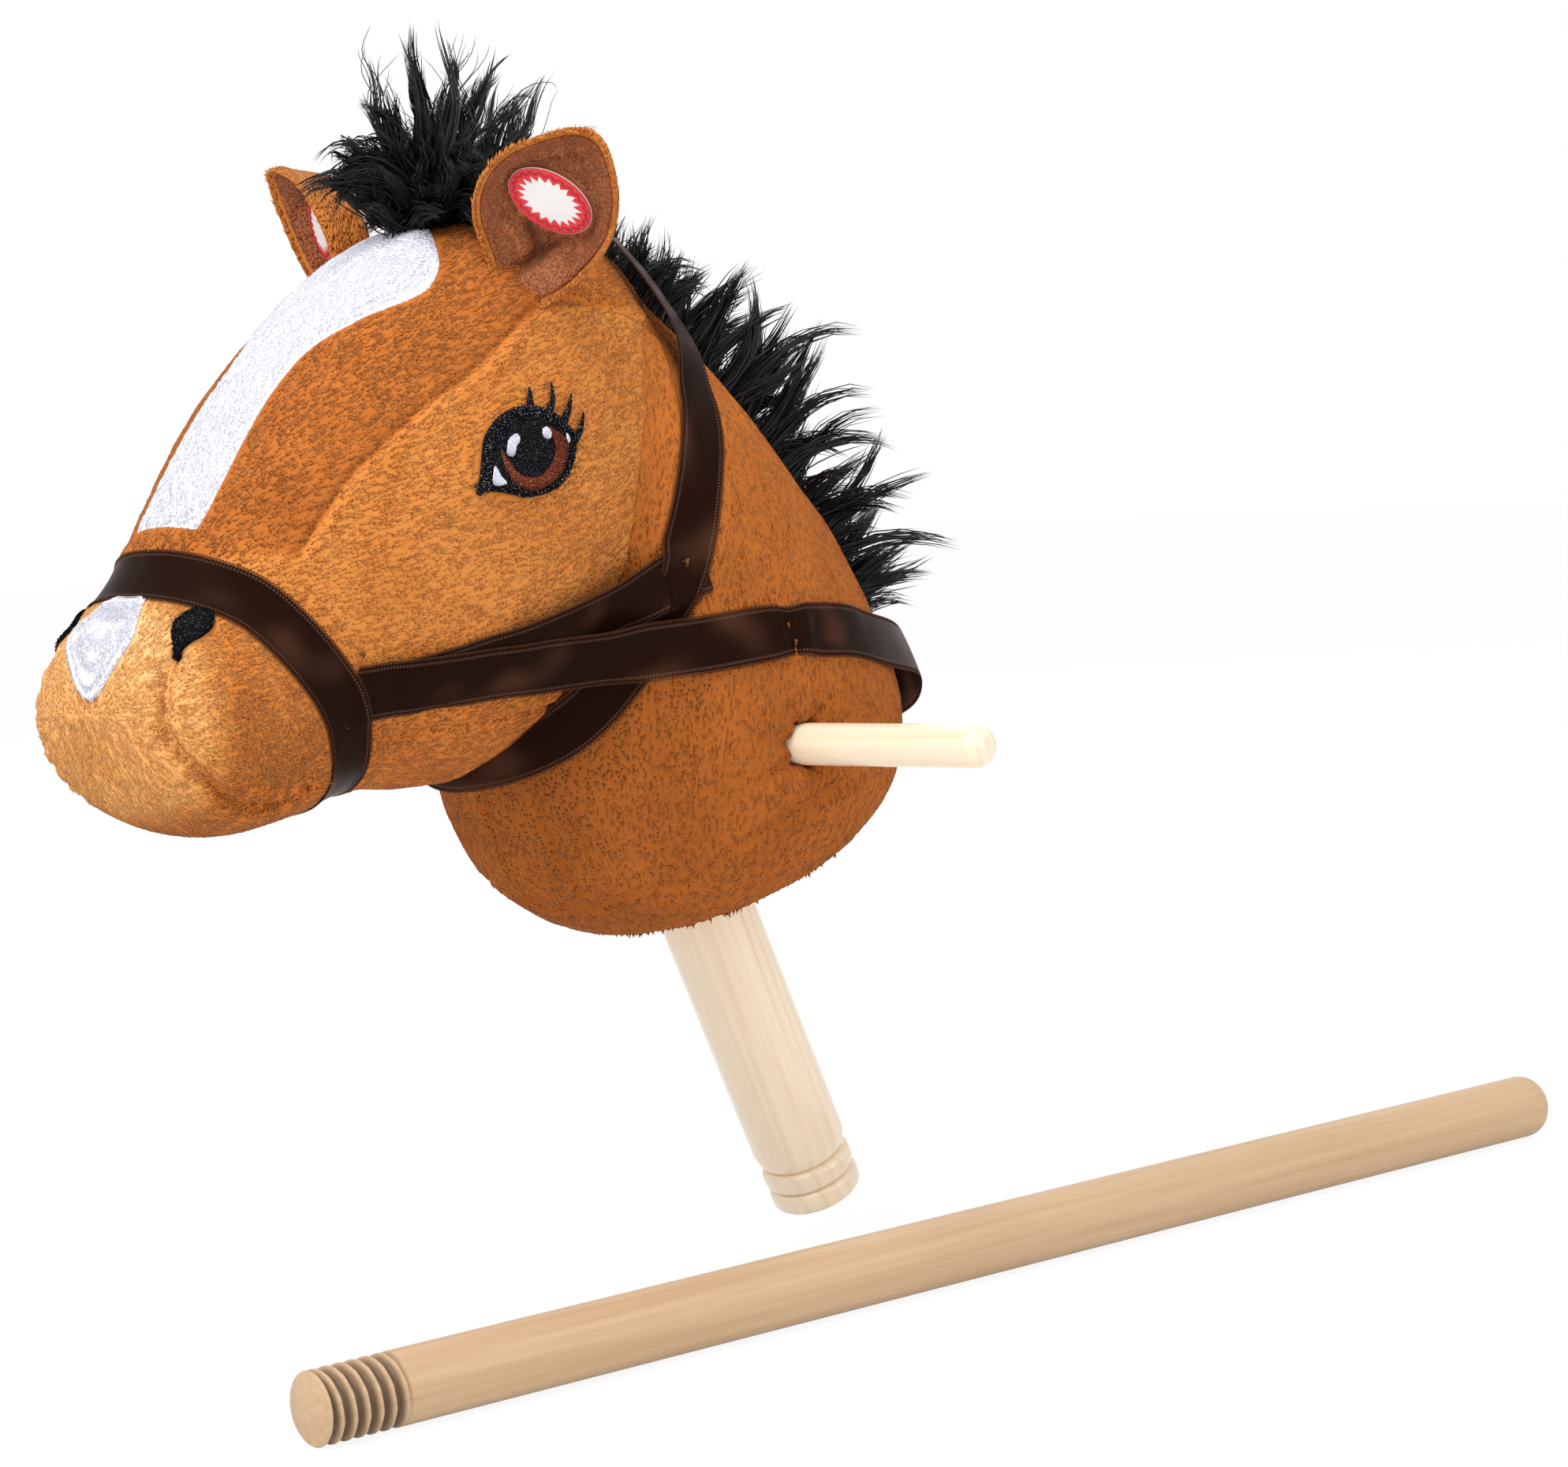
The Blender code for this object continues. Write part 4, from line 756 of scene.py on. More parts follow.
# Turned wood
def turned(name, profile):
    """Bar extruded ring by ring along +Z through (radius, height) rows in millimetres"""
    deselect_all()
    radius, height = profile[0]
    bpy.ops.mesh.primitive_circle_add(
        vertices=LATHE_SIDES, radius=radius * MM, fill_type="NGON", location=(0, 0, height * MM))
    obj = bpy.context.object
    obj.name = name
    bpy.ops.object.transform_apply(location=True)
    edit(obj)
    for (before, low), (after, high) in zip(profile, profile[1:]):
        bpy.ops.mesh.extrude_region_move(TRANSFORM_OT_translate={"value": (0, 0, (high - low) * MM)})
        bpy.ops.transform.resize(value=(after / before, after / before, 1.0), center_override=(0, 0, 0))
    bpy.ops.mesh.select_all(action="SELECT")
    bpy.ops.mesh.normals_make_consistent(inside=False)
    leave_edit()
    bpy.ops.object.shade_smooth_by_angle(angle=math.radians(40))
    return obj


def arc_rows(radius, height, size, start, end):
    """Rows of an arc round a middle, between two angles in degrees"""
    angles = np.radians(np.linspace(start, end, ARC_ROWS))
    return [(radius + size * math.cos(angle), height + size * math.sin(angle)) for angle in angles]


def thread_wave(turns):
    """Share of the thread's depth, from 0 at the crest to 1 at the root"""
    phase = turns % 1.0
    return np.clip(2.0 - 5.0 * np.abs(phase - 0.5), 0.0, 1.0)


def cut_thread(obj, base, length, radius, lead_in):
    """Draw the rows of a turned bar in along a helix that starts at a height and runs up"""
    points = points_of(obj.data) / MM
    height = points[:, 2] - base
    around = np.hypot(points[:, 0], points[:, 1])
    held = (height > lead_in) & (height < length) & (np.abs(around - radius) < 0.05)
    turns = height / THREAD_PITCH - np.arctan2(points[:, 1], points[:, 0]) / math.tau
    fade = np.clip((length - height) / 2.0, 0.0, 1.0) * np.clip((height - lead_in) / 0.8, 0.0, 1.0)
    depth = thread_wave(turns) * fade * held
    points[:, :2] *= (1.0 - THREAD_DEPTH * depth / radius)[:, None]
    # How deep each point lies in the groove, which the wood material paints as shade
    set_value(obj, "painted_groove_shade", depth)
    set_points(obj, points)


def place_bar(obj, matrix):
    obj.matrix_world = matrix
    activate(obj)
    bpy.ops.object.transform_apply(location=True, rotation=True, scale=True)


def axes_matrix(right, up, out, origin):
    matrix = Matrix((right, up, out)).transposed().to_4x4()
    matrix.translation = Vector(origin) * MM
    return matrix


def axis_matrix(origin, axis, side=(1.0, 0.0, 0.0)):
    along = Vector(axis).normalized()
    across = Vector(side) - along * Vector(side).dot(along)
    across.normalize()
    return axes_matrix(across, along.cross(across), along, origin)


def make_upper_stick():
    low = -STICK_BELOW_BAR
    rows = [(SOCKET_RADIUS - THREAD_DEPTH, low + SOCKET_DEPTH), (SOCKET_RADIUS, low + SOCKET_DEPTH - 4.0)]
    height = low + SOCKET_DEPTH - 4.0
    while height > low + 1.5:
        height -= THREAD_ROW
        rows.append((SOCKET_RADIUS, height))
    rows += [(SOCKET_RADIUS, low + 0.5), (SOCKET_RADIUS + 0.5, low)]
    rows += [(BEAD_RADIUS - 3.2, low)] + arc_rows(BEAD_RADIUS - 3.2, low + 3.2, 3.2, -90, 0)[1:]
    for bead in (0, 1):
        top = low + BEAD_HEIGHT * (bead + 1)
        rows += arc_rows(BEAD_RADIUS - 3.4, top - 3.2, 3.4, 0, 74)
        if bead == 0:
            rows += [(BEAD_RADIUS - 2.9, top)] + arc_rows(BEAD_RADIUS - 3.4, top + 3.2, 3.4, -74, 0)
    top = low + 2 * BEAD_HEIGHT
    rows += [(STICK_RADIUS - 3.2, top + 0.1), (STICK_RADIUS - 2.0, top + 1.0), (STICK_RADIUS - 1.0, top + 2.6)]
    rows += [(STICK_RADIUS - 0.35, top + 4.8), (STICK_RADIUS, top + 7.5)]
    rows += [(STICK_RADIUS, h) for h in np.linspace(top + 30.0, STICK_ABOVE_BAR - 2.0, 12)]
    rows += [(STICK_RADIUS - 0.6, STICK_ABOVE_BAR - 0.6), (STICK_RADIUS - 2.0, STICK_ABOVE_BAR)]
    obj = turned("turned_upper_stick", rows)
    cut_thread(obj, low, SOCKET_DEPTH - 4.5, SOCKET_RADIUS, 1.0)
    place_bar(obj, Matrix.Rotation(math.radians(STICK_LEAN), 4, "X"))
    return obj


def make_hand_bar():
    half = BAR_LENGTH / 2
    tip = [(BAR_RADIUS - BAR_DOME * (1 - math.cos(a)), half - BAR_DOME * (1 - math.sin(a)))
           for a in np.radians((90, 72, 54, 36, 18, 0))]
    rows = [(r, -h) for r, h in tip] + [(BAR_RADIUS, h) for h in np.linspace(-half + 30, half - 30, 9)]
    rows += [(r, h) for r, h in reversed(tip)]
    obj = turned("turned_hand_bar", rows)
    place_bar(obj, axis_matrix((0, 0, 0), (1, 0, 0), (0, 1, 0)))
    return obj


def pole_direction():
    yaw = math.radians(POLE_YAW)
    return (math.sin(yaw), math.cos(yaw), 0.0)


def make_lower_pole():
    rows = [(POLE_RADIUS - 1.2, 0.0), (POLE_RADIUS - 0.3, 0.7), (POLE_RADIUS, 1.2)]
    rows += [(POLE_RADIUS, h) for h in np.arange(1.2 + THREAD_ROW, THREAD_LENGTH + 2, THREAD_ROW)]
    rows += [(POLE_RADIUS, h) for h in np.linspace(THREAD_LENGTH + 12, POLE_LENGTH - FOOT_ROUNDING - 6, 20)]
    for angle in np.radians((0, 15, 30, 45, 60, 75, 90)):
        shrink = FOOT_ROUNDING * (1 - math.cos(angle))
        rows.append((POLE_RADIUS - shrink, POLE_LENGTH - FOOT_ROUNDING * (1 - math.sin(angle))))
    obj = turned("turned_lower_pole", rows)
    cut_thread(obj, 0.0, THREAD_LENGTH + 1.0, POLE_RADIUS, 1.4)
    place_bar(obj, axis_matrix(POLE_START, pole_direction()))
    return obj


# Plush forms
def stuffed_copy(name, nodes, voxel, swell, rounds):
    """Voxel-remeshed and smoothed copy of soft nodes"""
    obj = joined(name, [linked(name, frame["nodes"][node].data.copy()) for node in nodes])
    obj.data.materials.clear()
    edit(obj)
    bpy.ops.mesh.remove_doubles(threshold=0.00002)
    bpy.ops.transform.shrink_fatten(value=swell * MM)
    leave_edit()
    obj.data.remesh_voxel_size = voxel * MM
    bpy.ops.object.voxel_remesh()
    edit(obj)
    bpy.ops.mesh.vertices_smooth(factor=0.5, repeat=rounds)
    leave_edit()
    return obj


def snap_to(obj, envelope, reach):
    """Draw the outer points of a piece onto the one smooth surface that the pieces share"""
    points = points_of(obj.data) / MM
    normals = points_of(obj.data, "normal")
    for k, (point, normal) in enumerate(zip(points, normals)):
        spot, outward = envelope.nearest(point)
        if (Vector(point) - spot).length < reach and outward.dot(Vector(normal)) > 0.3:
            points[k] = spot
    set_points(obj, points)


def ribbon_guides():
    """Name, guide, half width and whether it is a closed loop, from the lowest layer to the highest"""
    crown, nose = (list(half) + mirrored(reversed(half[1:-1])) for half in (CROWN_PATH, NOSE_PATH))
    rein = list(REIN_PATH) + mirrored(reversed(REIN_PATH[:-1]))
    return (
        ("cheek_strap_left", CHEEK_PATH, 8.5, False),
        ("cheek_strap_right", mirrored(CHEEK_PATH), 8.5, False),
        ("crown_strap", crown, 9.0, True),
        ("rein", rein, 9.0, False),
        ("noseband", nose, 9.2, True),
    )


def rolling(places, size, seed):
    """Soft noise between -1 and 1 with bumps of a given size"""
    shift = Vector((seed * 17.3, seed * 7.1, -seed * 11.9))
    return np.array([noise.noise(Vector(p) / size + shift) for p in places])


class Needlework:
    """How seams, ribbons and stitches shape the plush"""

    def __init__(self):
        seams = [FOREHEAD_SEAM, REAR_CHEEK_SEAM, JAW_SEAM, NECK_FRONT_SEAM, BASE_SEAM]
        self.seams = Lines([side for seam in seams for side in both_sides(seam)])
        self.mouth = Lines(both_sides(MOUTH_SEAM))
        self.pucker = Lines(both_sides(BAR_PUCKER))
        tight = [guide for guide in ribbon_guides() if guide[0] in ("crown_strap", "noseband")]
        self.ribbons = Lines([[p[:3] for p in list(guide) + [guide[0]]] for _, guide, _, _ in tight], 2.0)

    def relief(self, places):
        """Height in millimetres to add along the surface's outward way"""
        seam, _ = self.seams.measure(places)
        mouth, along = self.mouth.measure(places)
        pucker, _ = self.pucker.measure(places)
        ribbon, _ = self.ribbons.measure(places)
        height = 0.8 * rolling(places, 34.0, 1) + 0.3 * rolling(places, 12.0, 2)
        height += 0.9 * bell(seam, 7.0) - 2.0 * bell(seam, 1.9)
        height += 1.0 * bell(mouth, 9.0) - 4.2 * bell(mouth, 2.6)
        height += 0.7 * np.cos(along * math.tau / 8.0) * bell(mouth, 7.0) * (1 - bell(mouth, 3.0))
        height -= 1.5 * bell(pucker, 2.2)
        height += 0.6 * bell(ribbon - 12.5, 3.5) - 0.7 * np.clip((10.5 - ribbon) / 3.0, 0.0, 1.0)
        for side in SIDES:
            from_bar = np.hypot(places[:, 1], places[:, 2])
            on_side = np.clip((places[:, 0] * side - 60.0) / 10.0, 0.0, 1.0)
            folds = np.cos(np.arctan2(places[:, 2], places[:, 1]) * 7.0 + side)
            height += bell(from_bar - 8.0, 8.0) * on_side * (0.9 * folds - 2.4)
        return height


def tone_at(places, base):
    """Tone of the plush from 0, deep orange brown, to 1, pale tan"""
    seam = np.array(sorted((p[1], p[2]) for p in FOREHEAD_SEAM))
    edge = np.interp(places[:, 1], seam[:, 0], seam[:, 1])
    forehead = np.clip((places[:, 2] - edge + 1.0) / 2.0, 0.0, 1.0) * (places[:, 1] < -20.0)
    low = np.clip((56.0 - places[:, 2]) / 34.0, 0.0, 1.0) * (base > 0.4)
    front = np.clip((-224.0 - places[:, 1]) / 12.0, 0.0, 1.0)
    high = np.clip((places[:, 2] - 50.0) / 70.0, 0.0, 1.0) * (base < 0.3)
    tone = base - 0.2 * forehead - 0.16 * low + 0.4 * front + 0.14 * high
    return np.clip(tone + 0.06 * rolling(places, 20.0, 5), 0.02, 0.98)


def set_tone(obj, base):
    set_value(obj, "tone", tone_at(points_of(obj.data) / MM, base))


# Tones of the ears and of the white cloth and its pile, as in tone_at
EAR_TONE, WHITE_TONE, WHITE_PILE_TONE = 0.62, 0.6, 0.62
# Name, node and tone of each stuffed piece
PLUSH = (
    ("head_plush", "head_body", 0.44),
    ("muzzle_plush", "muzzle_body", 0.44),
    ("neck_plush", "neck_body", 0.13),
    ("base_panel_plush", "neck_base_panel", 0.12),
)


SURFACES = {}


def plush_skin():
    return SURFACES["plush"]


def puffed(obj, work):
    """Subdivide a stuffed form and shape it along its outward ways"""
    apply_modifier(obj, "SUBSURF", levels=1, render_levels=1)
    places = points_of(obj.data) / MM
    set_points(obj, places + points_of(obj.data, "normal") * work.relief(places)[:, None])
    obj.data.shade_smooth()


def make_plush(voxel):
    shared = stuffed_copy("plush_envelope", [node for _, node, _ in PLUSH], voxel, 0.9, 14)
    envelope = Skin([shared])
    work = Needlework()
    made = []
    for name, node, base in PLUSH:
        obj = stuffed_copy(name, [node], voxel, 0.2, 5)
        snap_to(obj, envelope, 4.0)
        puffed(obj, work)
        set_tone(obj, base)
        made.append(obj)
    puffed(shared, work)
    SURFACES["plush"] = Skin([shared])
    bpy.data.objects.remove(shared, do_unlink=True)
    return made


# Pile
def surface_samples(obj, count, rng):
    """Even random points on a piece, with their normals, in millimetres"""
    mesh = obj.data
    mesh.calc_loop_triangles()
    corners = np.empty(len(mesh.loop_triangles) * 3, dtype=np.int32)
    mesh.loop_triangles.foreach_get("vertices", corners)
    corners = corners.reshape(-1, 3)
    points, normals = points_of(mesh) / MM, points_of(mesh, "normal")
    a, b, c = (points[corners[:, n]] for n in range(3))
    areas = np.linalg.norm(np.cross(b - a, c - a), axis=1)
    picked = np.searchsorted(np.cumsum(areas), rng.random(count) * areas.sum())
    picked = np.minimum(picked, len(areas) - 1)
    u, v = rng.random(count), rng.random(count)
    over = u + v > 1.0
    u[over], v[over] = 1.0 - u[over], 1.0 - v[over]
    weights = np.stack([1.0 - u - v, u, v], axis=1)
    spots, ways = (sum(rows[corners[picked, n]] * weights[:, n:n + 1] for n in range(3)) for rows in (points, normals))
    return spots, unit_rows(ways)


def side_sway(spots):
    """Slow change of the pile's way from place to place"""
    return np.stack([rolling(spots, 9.0, seed) for seed in (11, 12, 13)], axis=1)


def tufts(name, spots, normals, lay, tone, length, width, rise, rng):
    """Closed four-faced tufts that lie along the nap"""
    count = len(spots)
    astray = level_rows(lay, normals) + rng.normal(0.0, 0.15, (count, 3)) + side_sway(spots) * 0.4
    lay = level_rows(unit_rows(astray), normals)
    side = np.cross(normals, lay)
    lengths = (length * rng.uniform(0.65, 1.3, count))[:, None]
    widths = (width * rng.uniform(0.7, 1.3, count))[:, None]
    angle = np.radians(rise + rng.normal(0.0, 1.0, count) * rise * 0.5)[:, None]
    tips = spots + lay * lengths * np.cos(angle) + normals * lengths * np.sin(angle)
    left, right = spots + side * widths / 2, spots - side * widths / 2
    below = spots - normals * widths * 0.6 + lay * lengths * 0.3
    points = np.stack([left, right, tips, below], axis=1)
    # v runs from 0.02 at the root to 0.98 at the tip, which the pile material turns into painted shade at the root
    tones = (np.clip(tone, 0.02, 0.98)[:, None] + (-0.008, 0.008, 0.0, 0.0), np.array((0.12, 0.12, 0.98, 0.02)))
    return linked(name, many_mesh(name, points, ((1, 2, 0), (0, 2, 3), (2, 1, 3), (1, 0, 3)), tones))


def nap_ways(spots, head):
    """Way that the pile lies: backwards on the head, down on the neck"""
    if not head:
        return np.broadcast_to(np.array([0.0, -0.15, -1.0]), spots.shape).copy()
    back = np.broadcast_to(np.array([0.0, 1.0, 0.1]), spots.shape).copy()
    back[:, 2] += np.clip((spots[:, 1] + 200.0) / 140.0, 0.0, 1.0) * 0.25
    return back


def far_from(spots, tree, gap):
    return np.array([tree.find(Vector(p))[2] > gap for p in spots])


def ending_with(*endings):
    """Tree of the points of the objects whose names end so"""
    named = [obj for obj in bpy.data.objects if obj.name.endswith(endings)]
    return point_tree(np.concatenate([points_of(obj.data) / MM for obj in named]))


# Endings of the names of the pieces that no pile grows through
COVERS = ("_ribbon", "_ground", "eye_ground_left", "eye_ground_right", "nostril_felt_left", "nostril_felt_right")


def near_skin(spots, reach):
    """True for the points that lie on the one outer surface"""
    skin = plush_skin()
    return np.array([(Vector(p) - skin.nearest(p)[0]).length < reach for p in spots])


def grow_pile(obj, name, count, tone_of, length, seed, keep, lay_of, settings, calm):
    """Tufts on the parts of a piece that the keep function picks"""
    rng = np.random.default_rng(seed)
    spots, normals = surface_samples(obj, count, rng)
    picked = keep(spots, normals, spots + unit_rows(lay_of(spots)) * length * 0.9)
    spots, normals = spots[picked], normals[picked]
    mixed = np.clip(rng.normal(0.0, 1.0, len(spots)), -1.1, 1.5) * settings.pile_mix + 0.07 * rolling(spots, 5.0, 9)
    tone = tone_of(spots) + mixed * calm
    width, rise = settings.pile_width * (1.4 - 0.4 * calm), settings.pile_rise * (0.3 + 0.7 * calm)
    return tufts(name, spots, normals, lay_of(spots), tone, length, width, rise, rng)


# Ribbons
def grid_corners(count, across, closed):
    """First corners of each square of a grid, on its row and on the next one"""
    rows = range(count if closed else count - 1)
    return [(k * across + m, (k + 1) % count * across + m) for k in rows for m in range(across - 1)]


def slab(name, low, high, closed=False):
    """Closed slab between two grids of points; a closed one is a ring"""
    count, across = low.shape[:2]
    half = count * across
    faces = []
    for a, b in grid_corners(count, across, closed):
        faces += [(a, b, b + 1, a + 1), (half + a + 1, half + b + 1, half + b, half + a)]
    spans = count if closed else count - 1
    walls = [(k * across + m, (k + 1) % count * across + m, m > 0) for m in (0, across - 1) for k in range(spans)]
    if not closed:
        walls += [(k * across + m, k * across + m + 1, k == 0) for k in (0, count - 1) for m in range(across - 1)]
    for a, b, flip in walls:
        wall = (a, half + a, half + b, b)
        faces.append(wall[::-1] if flip else wall)
    points = np.concatenate([low.reshape(-1, 3), high.reshape(-1, 3)])
    return linked(name, array_mesh(name, points, np.array(faces)))


class Layers:
    """The plush and the ribbons that are in place on it"""

    def __init__(self, skin):
        self.skin = skin
        self.tops = []

    def add(self, rows, closed):
        faces = [(a, b, b + 1, a + 1) for a, b in grid_corners(*rows.shape[:2], closed)]
        self.tops.append(BVHTree.FromPolygons([Vector(p) for p in rows.reshape(-1, 3)], faces))

    def pushed(self, point, normal):
        point = self.skin.pushed(point, RIBBON_LIFT)
        for top in self.tops:
            spot, outward, _, _ = top.find_nearest(point, 5.0)
            if spot is None:
                continue
            if outward.dot(Vector(normal)) < 0:
                outward = -outward
            offset = point - spot
            height = offset.dot(outward)
            if (offset - outward * height).length < 1.4 and height < 0.3:
                point = point + outward * (0.3 - height)
        return np.array(point)


def ribbon_rows(layers, guide, half_width, closed):
    """Rows of points across a ribbon that lies on the plush or spans its hollows"""
    path = smooth_path(guide, RIBBON_STEP, closed)
    centres, normals = [], []
    for x, y, z, off in path:
        spot, normal = layers.skin.nearest((x, y, z))
        height = layers.skin.height((x, y, z))
        free = min(1.0, max(0.0, -off))
        hugs = off == 0 and height < (6.0 if z > 150.0 else 3.0)
        hugged = np.array(spot + normal * RIBBON_LIFT) if hugs else np.array((x, y, z))
        centres.append(hugged + np.array(normal) * max(off, 0.0) * 0.5)
        from_neck = Vector((x, (y + 34.0) * 0.9, -12.0)).normalized()
        normals.append(np.array((normal * (1.0 - free) + from_neck * free).normalized()))
    centres, normals = np.array(centres), np.array(normals)
    for _ in range(60):
        normals = unit_rows(relaxed(normals, closed))
    for _ in range(25):
        centres = relaxed(centres, closed)
    ahead = np.roll(centres, -1, axis=0) - np.roll(centres, 1, axis=0)
    if not closed:
        ahead[0], ahead[-1] = centres[1] - centres[0], centres[-1] - centres[-2]
    for _ in range(10):
        ahead = relaxed(unit_rows(ahead), closed)
    sideways = unit_rows(np.cross(unit_rows(ahead), normals))
    shares = np.linspace(-1.0, 1.0, RIBBON_SHARES)
    rows = centres[:, None] + sideways[:, None] * (shares * half_width)[None, :, None]
    rows = rows + normals[:, None] * (0.3 * (1 - shares ** 2))[None, :, None]
    for _ in range(5):
        rows = np.array([[layers.pushed(p, n) for p in row] for row, n in zip(rows, normals)])
        for _ in range(2):
            rows = relaxed(rows, closed)
    return rows, normals


def pinch_fold(rows, normals, centre):
    """Gather a ribbon across its width at a stitch"""
    middle = rows[:, RIBBON_SHARES // 2]
    at = int(np.argmin(np.linalg.norm(middle - np.array(centre), axis=1)))
    run = ((np.arange(len(rows)) - at) * RIBBON_STEP)[:, None]
    share = np.linspace(-1.0, 1.0, RIBBON_SHARES)
    fold = -1.1 * bell(run - share * 1.5, 1.6) + 1.3 * bell(np.abs(run) - 6.0, 3.5)
    ripple = 0.5 * np.sin(share * 5.0 + run * 0.35) * bell(run, 9.0)
    gathered = (middle[:, None] - rows) * 0.14 * bell(run, 6.0)[:, :, None]
    return rows + gathered + normals[:, None] * (fold + ripple)[:, :, None]


def pinch_dimple(rows, normals, centre):
    """Draw a ribbon in at a knot, with creases that run from it"""
    offset = rows - np.array(centre)
    away = np.linalg.norm(offset, axis=2)
    turn = np.arctan2(offset[:, :, 2], offset[:, :, 1])
    dent = 0.8 * bell(away - 5.0, 2.5) - bell(away, 2.0) + 0.35 * np.cos(turn * 4.0) * bell(away, 7.0)
    return rows + normals[:, None] * dent[:, :, None]


def relaxed(values, closed):
    before, after = np.roll(values, 1, axis=0), np.roll(values, -1, axis=0)
    kept = (before + values * 2 + after) / 4
    if not closed:
        kept[0], kept[-1] = values[0], values[-1]
    return kept


def ribbon_mesh(name, rows, normals, closed):
    """Closed thin band through rows of points, with a weave map in metres"""
    count, across = rows.shape[:2]
    obj = slab(name, rows, rows + normals[:, None] * RIBBON_THICKNESS, closed)
    along = run_lengths(rows[:, across // 2])
    u = np.tile(np.linspace(-0.5, 0.5, across) * WEAVE_WIDTH, count)
    v = np.repeat(along * MM, across)
    both = np.concatenate([np.stack([u, v], axis=1)] * 2)
    corners = np.empty(len(obj.data.loops), dtype=np.int32)
    obj.data.loops.foreach_get("vertex_index", corners)
    set_corner_map(obj.data, "weave", both[corners])
    face_outwards(obj)
    bpy.ops.object.shade_smooth_by_angle(angle=math.radians(RIBBON_CREASE))
    return obj, along[-1]


def picot_edging(name, rows, normals, closed, pitch):
    """Small thread loops along both edges of a ribbon"""
    points, faces = [], []
    arc = np.radians((0, 45, 90, 135, 180))
    for edge, inner in ((0, 1), (-1, -2)):
        line = rows[:, edge] + normals * RIBBON_THICKNESS / 2
        guide = np.concatenate([line, unit_rows(rows[:, edge] - rows[:, inner]), normals], axis=1)
        if closed:
            guide = np.concatenate([guide, guide[:1]])
        along = run_lengths(guide[:, :3])
        for place in np.arange(pitch / 2, along[-1], pitch):
            spot, out, up = read_rows(place, along, guide).reshape(3, 3)
            forward = unit(read_rows(place + 0.5, along, guide)[:3] - spot)
            faces += tube_faces(len(points), len(arc), 3)
            for angle in arc:
                centre = spot + out * (math.sin(angle) * 1.15 - 0.1) + forward * math.cos(angle) * 0.4
                radial = swung(forward, out, angle)
                points += [centre + swung(radial, up, turn) * 0.23 for turn in THIRDS]
    return thread_solid(name, points, faces)


# Place, name and size of the knots on the left side
TACKS = (
    ((66.0, -39.0, 67.0), "crown_tack", 3.4),
    ((82.0, -3.4, 36.0), "rein_tack", 2.6),
    ((46.5, -174.0, 48.0), "noseband_tack", 2.4),
)


def make_knot(name, layers, centre, size):
    """A few crossing stitches on the topmost cloth"""
    rng = np.random.default_rng(5)
    normal = np.array(layers.skin.nearest(centre)[1])
    up = unit(np.array((0.0, 0.1, 1.0)) - normal * normal[2])
    across = np.cross(normal, up)
    first, last = [], []
    for k in range(5):
        angle = rng.normal(0.0, 0.35) + (0.9 if k == 4 else 0.0)
        reach = swung(up, across, angle) * size / 2
        middle = centre + across * rng.normal(0.0, 0.3)
        first.append(layers.pushed(Vector(middle + reach), normal))
        last.append(layers.pushed(Vector(middle - reach), normal))
    lift = normal * 0.4
    outward = np.tile(normal, (5, 1))
    return stitches(name, np.array(first) + lift, np.array(last) + lift, outward, 0.6, 0.7)


# Sewn patches: shares of a patch's size where its rings lie, and steps along and between stitches
PATCH_RINGS = (0.0, 0.4, 0.75, 0.93, 1.0)
STITCH_STEP, FINE_STEP, BAND_STITCHES = 0.42, 0.4, 90


def ringed_solid(name, *stacks):
    """Closed solid between two stacks of rings, each with its middle point and its rings from there out"""
    bm = bmesh.new()
    rims = []
    for middle, rings in stacks:
        count = len(rings[0])
        hub = bm.verts.new(Vector(middle) * MM)
        layer = [[bm.verts.new(Vector(p) * MM) for p in ring] for ring in rings]
        for i in range(count):
            bm.faces.new((hub, layer[0][i], layer[0][(i + 1) % count]))
        for first, second in zip(layer, layer[1:]):
            bridge(bm, first, second)
        rims.append(layer[-1])
    bridge(bm, *rims)
    bmesh.ops.recalc_face_normals(bm, faces=bm.faces)
    mesh = bpy.data.meshes.new(name)
    bm.to_mesh(mesh)
    bm.free()
    mesh.shade_smooth()
    return linked(name, mesh)


def bridge(bm, first, second):
    for i in range(len(first)):
        j = (i + 1) % len(first)
        bm.faces.new((first[i], second[i], second[j], first[j]))


def cast_patch(name, skin, outline, lift, thickness, step, dome=0.0):
    """Thin sewn patch inside a closed outline near the skin, domed a little, with a rounded edge"""
    path = smooth_path(outline, step, closed=True)
    centre = np.mean(path, axis=0)
    stacks = []
    for extra in (-0.6, thickness):
        stack = []
        for share in PATCH_RINGS:
            rise = lift + (extra + dome * (1 - share ** 2) if extra > 0 else extra)
            if extra > 0 and share == PATCH_RINGS[-1]:
                rise = lift + extra * 0.45
            places = path if share else [centre]
            stack.append([skin.lifted(centre + (p - centre) * share, rise) for p in places])
        stacks.append((stack[0][0], stack[1:]))
    return ringed_solid(name, *stacks)


def three_sided(rows):
    """Triangles of the walls of a three-sided thread with rows of points"""
    corners = [(k * 3 + m, k * 3 + (m + 1) % 3) for k in range(rows - 1) for m in range(3)]
    return [face for a, b in corners for face in ((a, b, b + 3), (a, b + 3, a + 3))]


def stitches(name, starts, ends, outward, width, rise):
    """Closed three-sided threads that rise a little between their two ends"""
    side = unit_rows(np.cross(outward, unit_rows(ends - starts)))
    rings = []
    for t, size in ((0.0, 0.6), (0.3, 1.0), (0.7, 1.0), (1.0, 0.6)):
        centre = starts + (ends - starts) * t + outward * rise * math.sin(math.pi * t)
        half = width * size / 2
        rings += [centre - side * half, centre + side * half, centre + outward * half * 1.2]
    mesh = many_mesh(name, np.stack(rings, axis=1), [(0, 2, 1), (9, 10, 11)] + three_sided(4))
    mesh.shade_smooth()
    return face_outwards(linked(name, mesh))


def on_skin(skin, points, lift):
    """Lifted points and the skin's outward ways there"""
    spots = np.array([skin.lifted(p, lift) for p in points])
    return spots, np.array([skin.nearest(p)[1] for p in points])


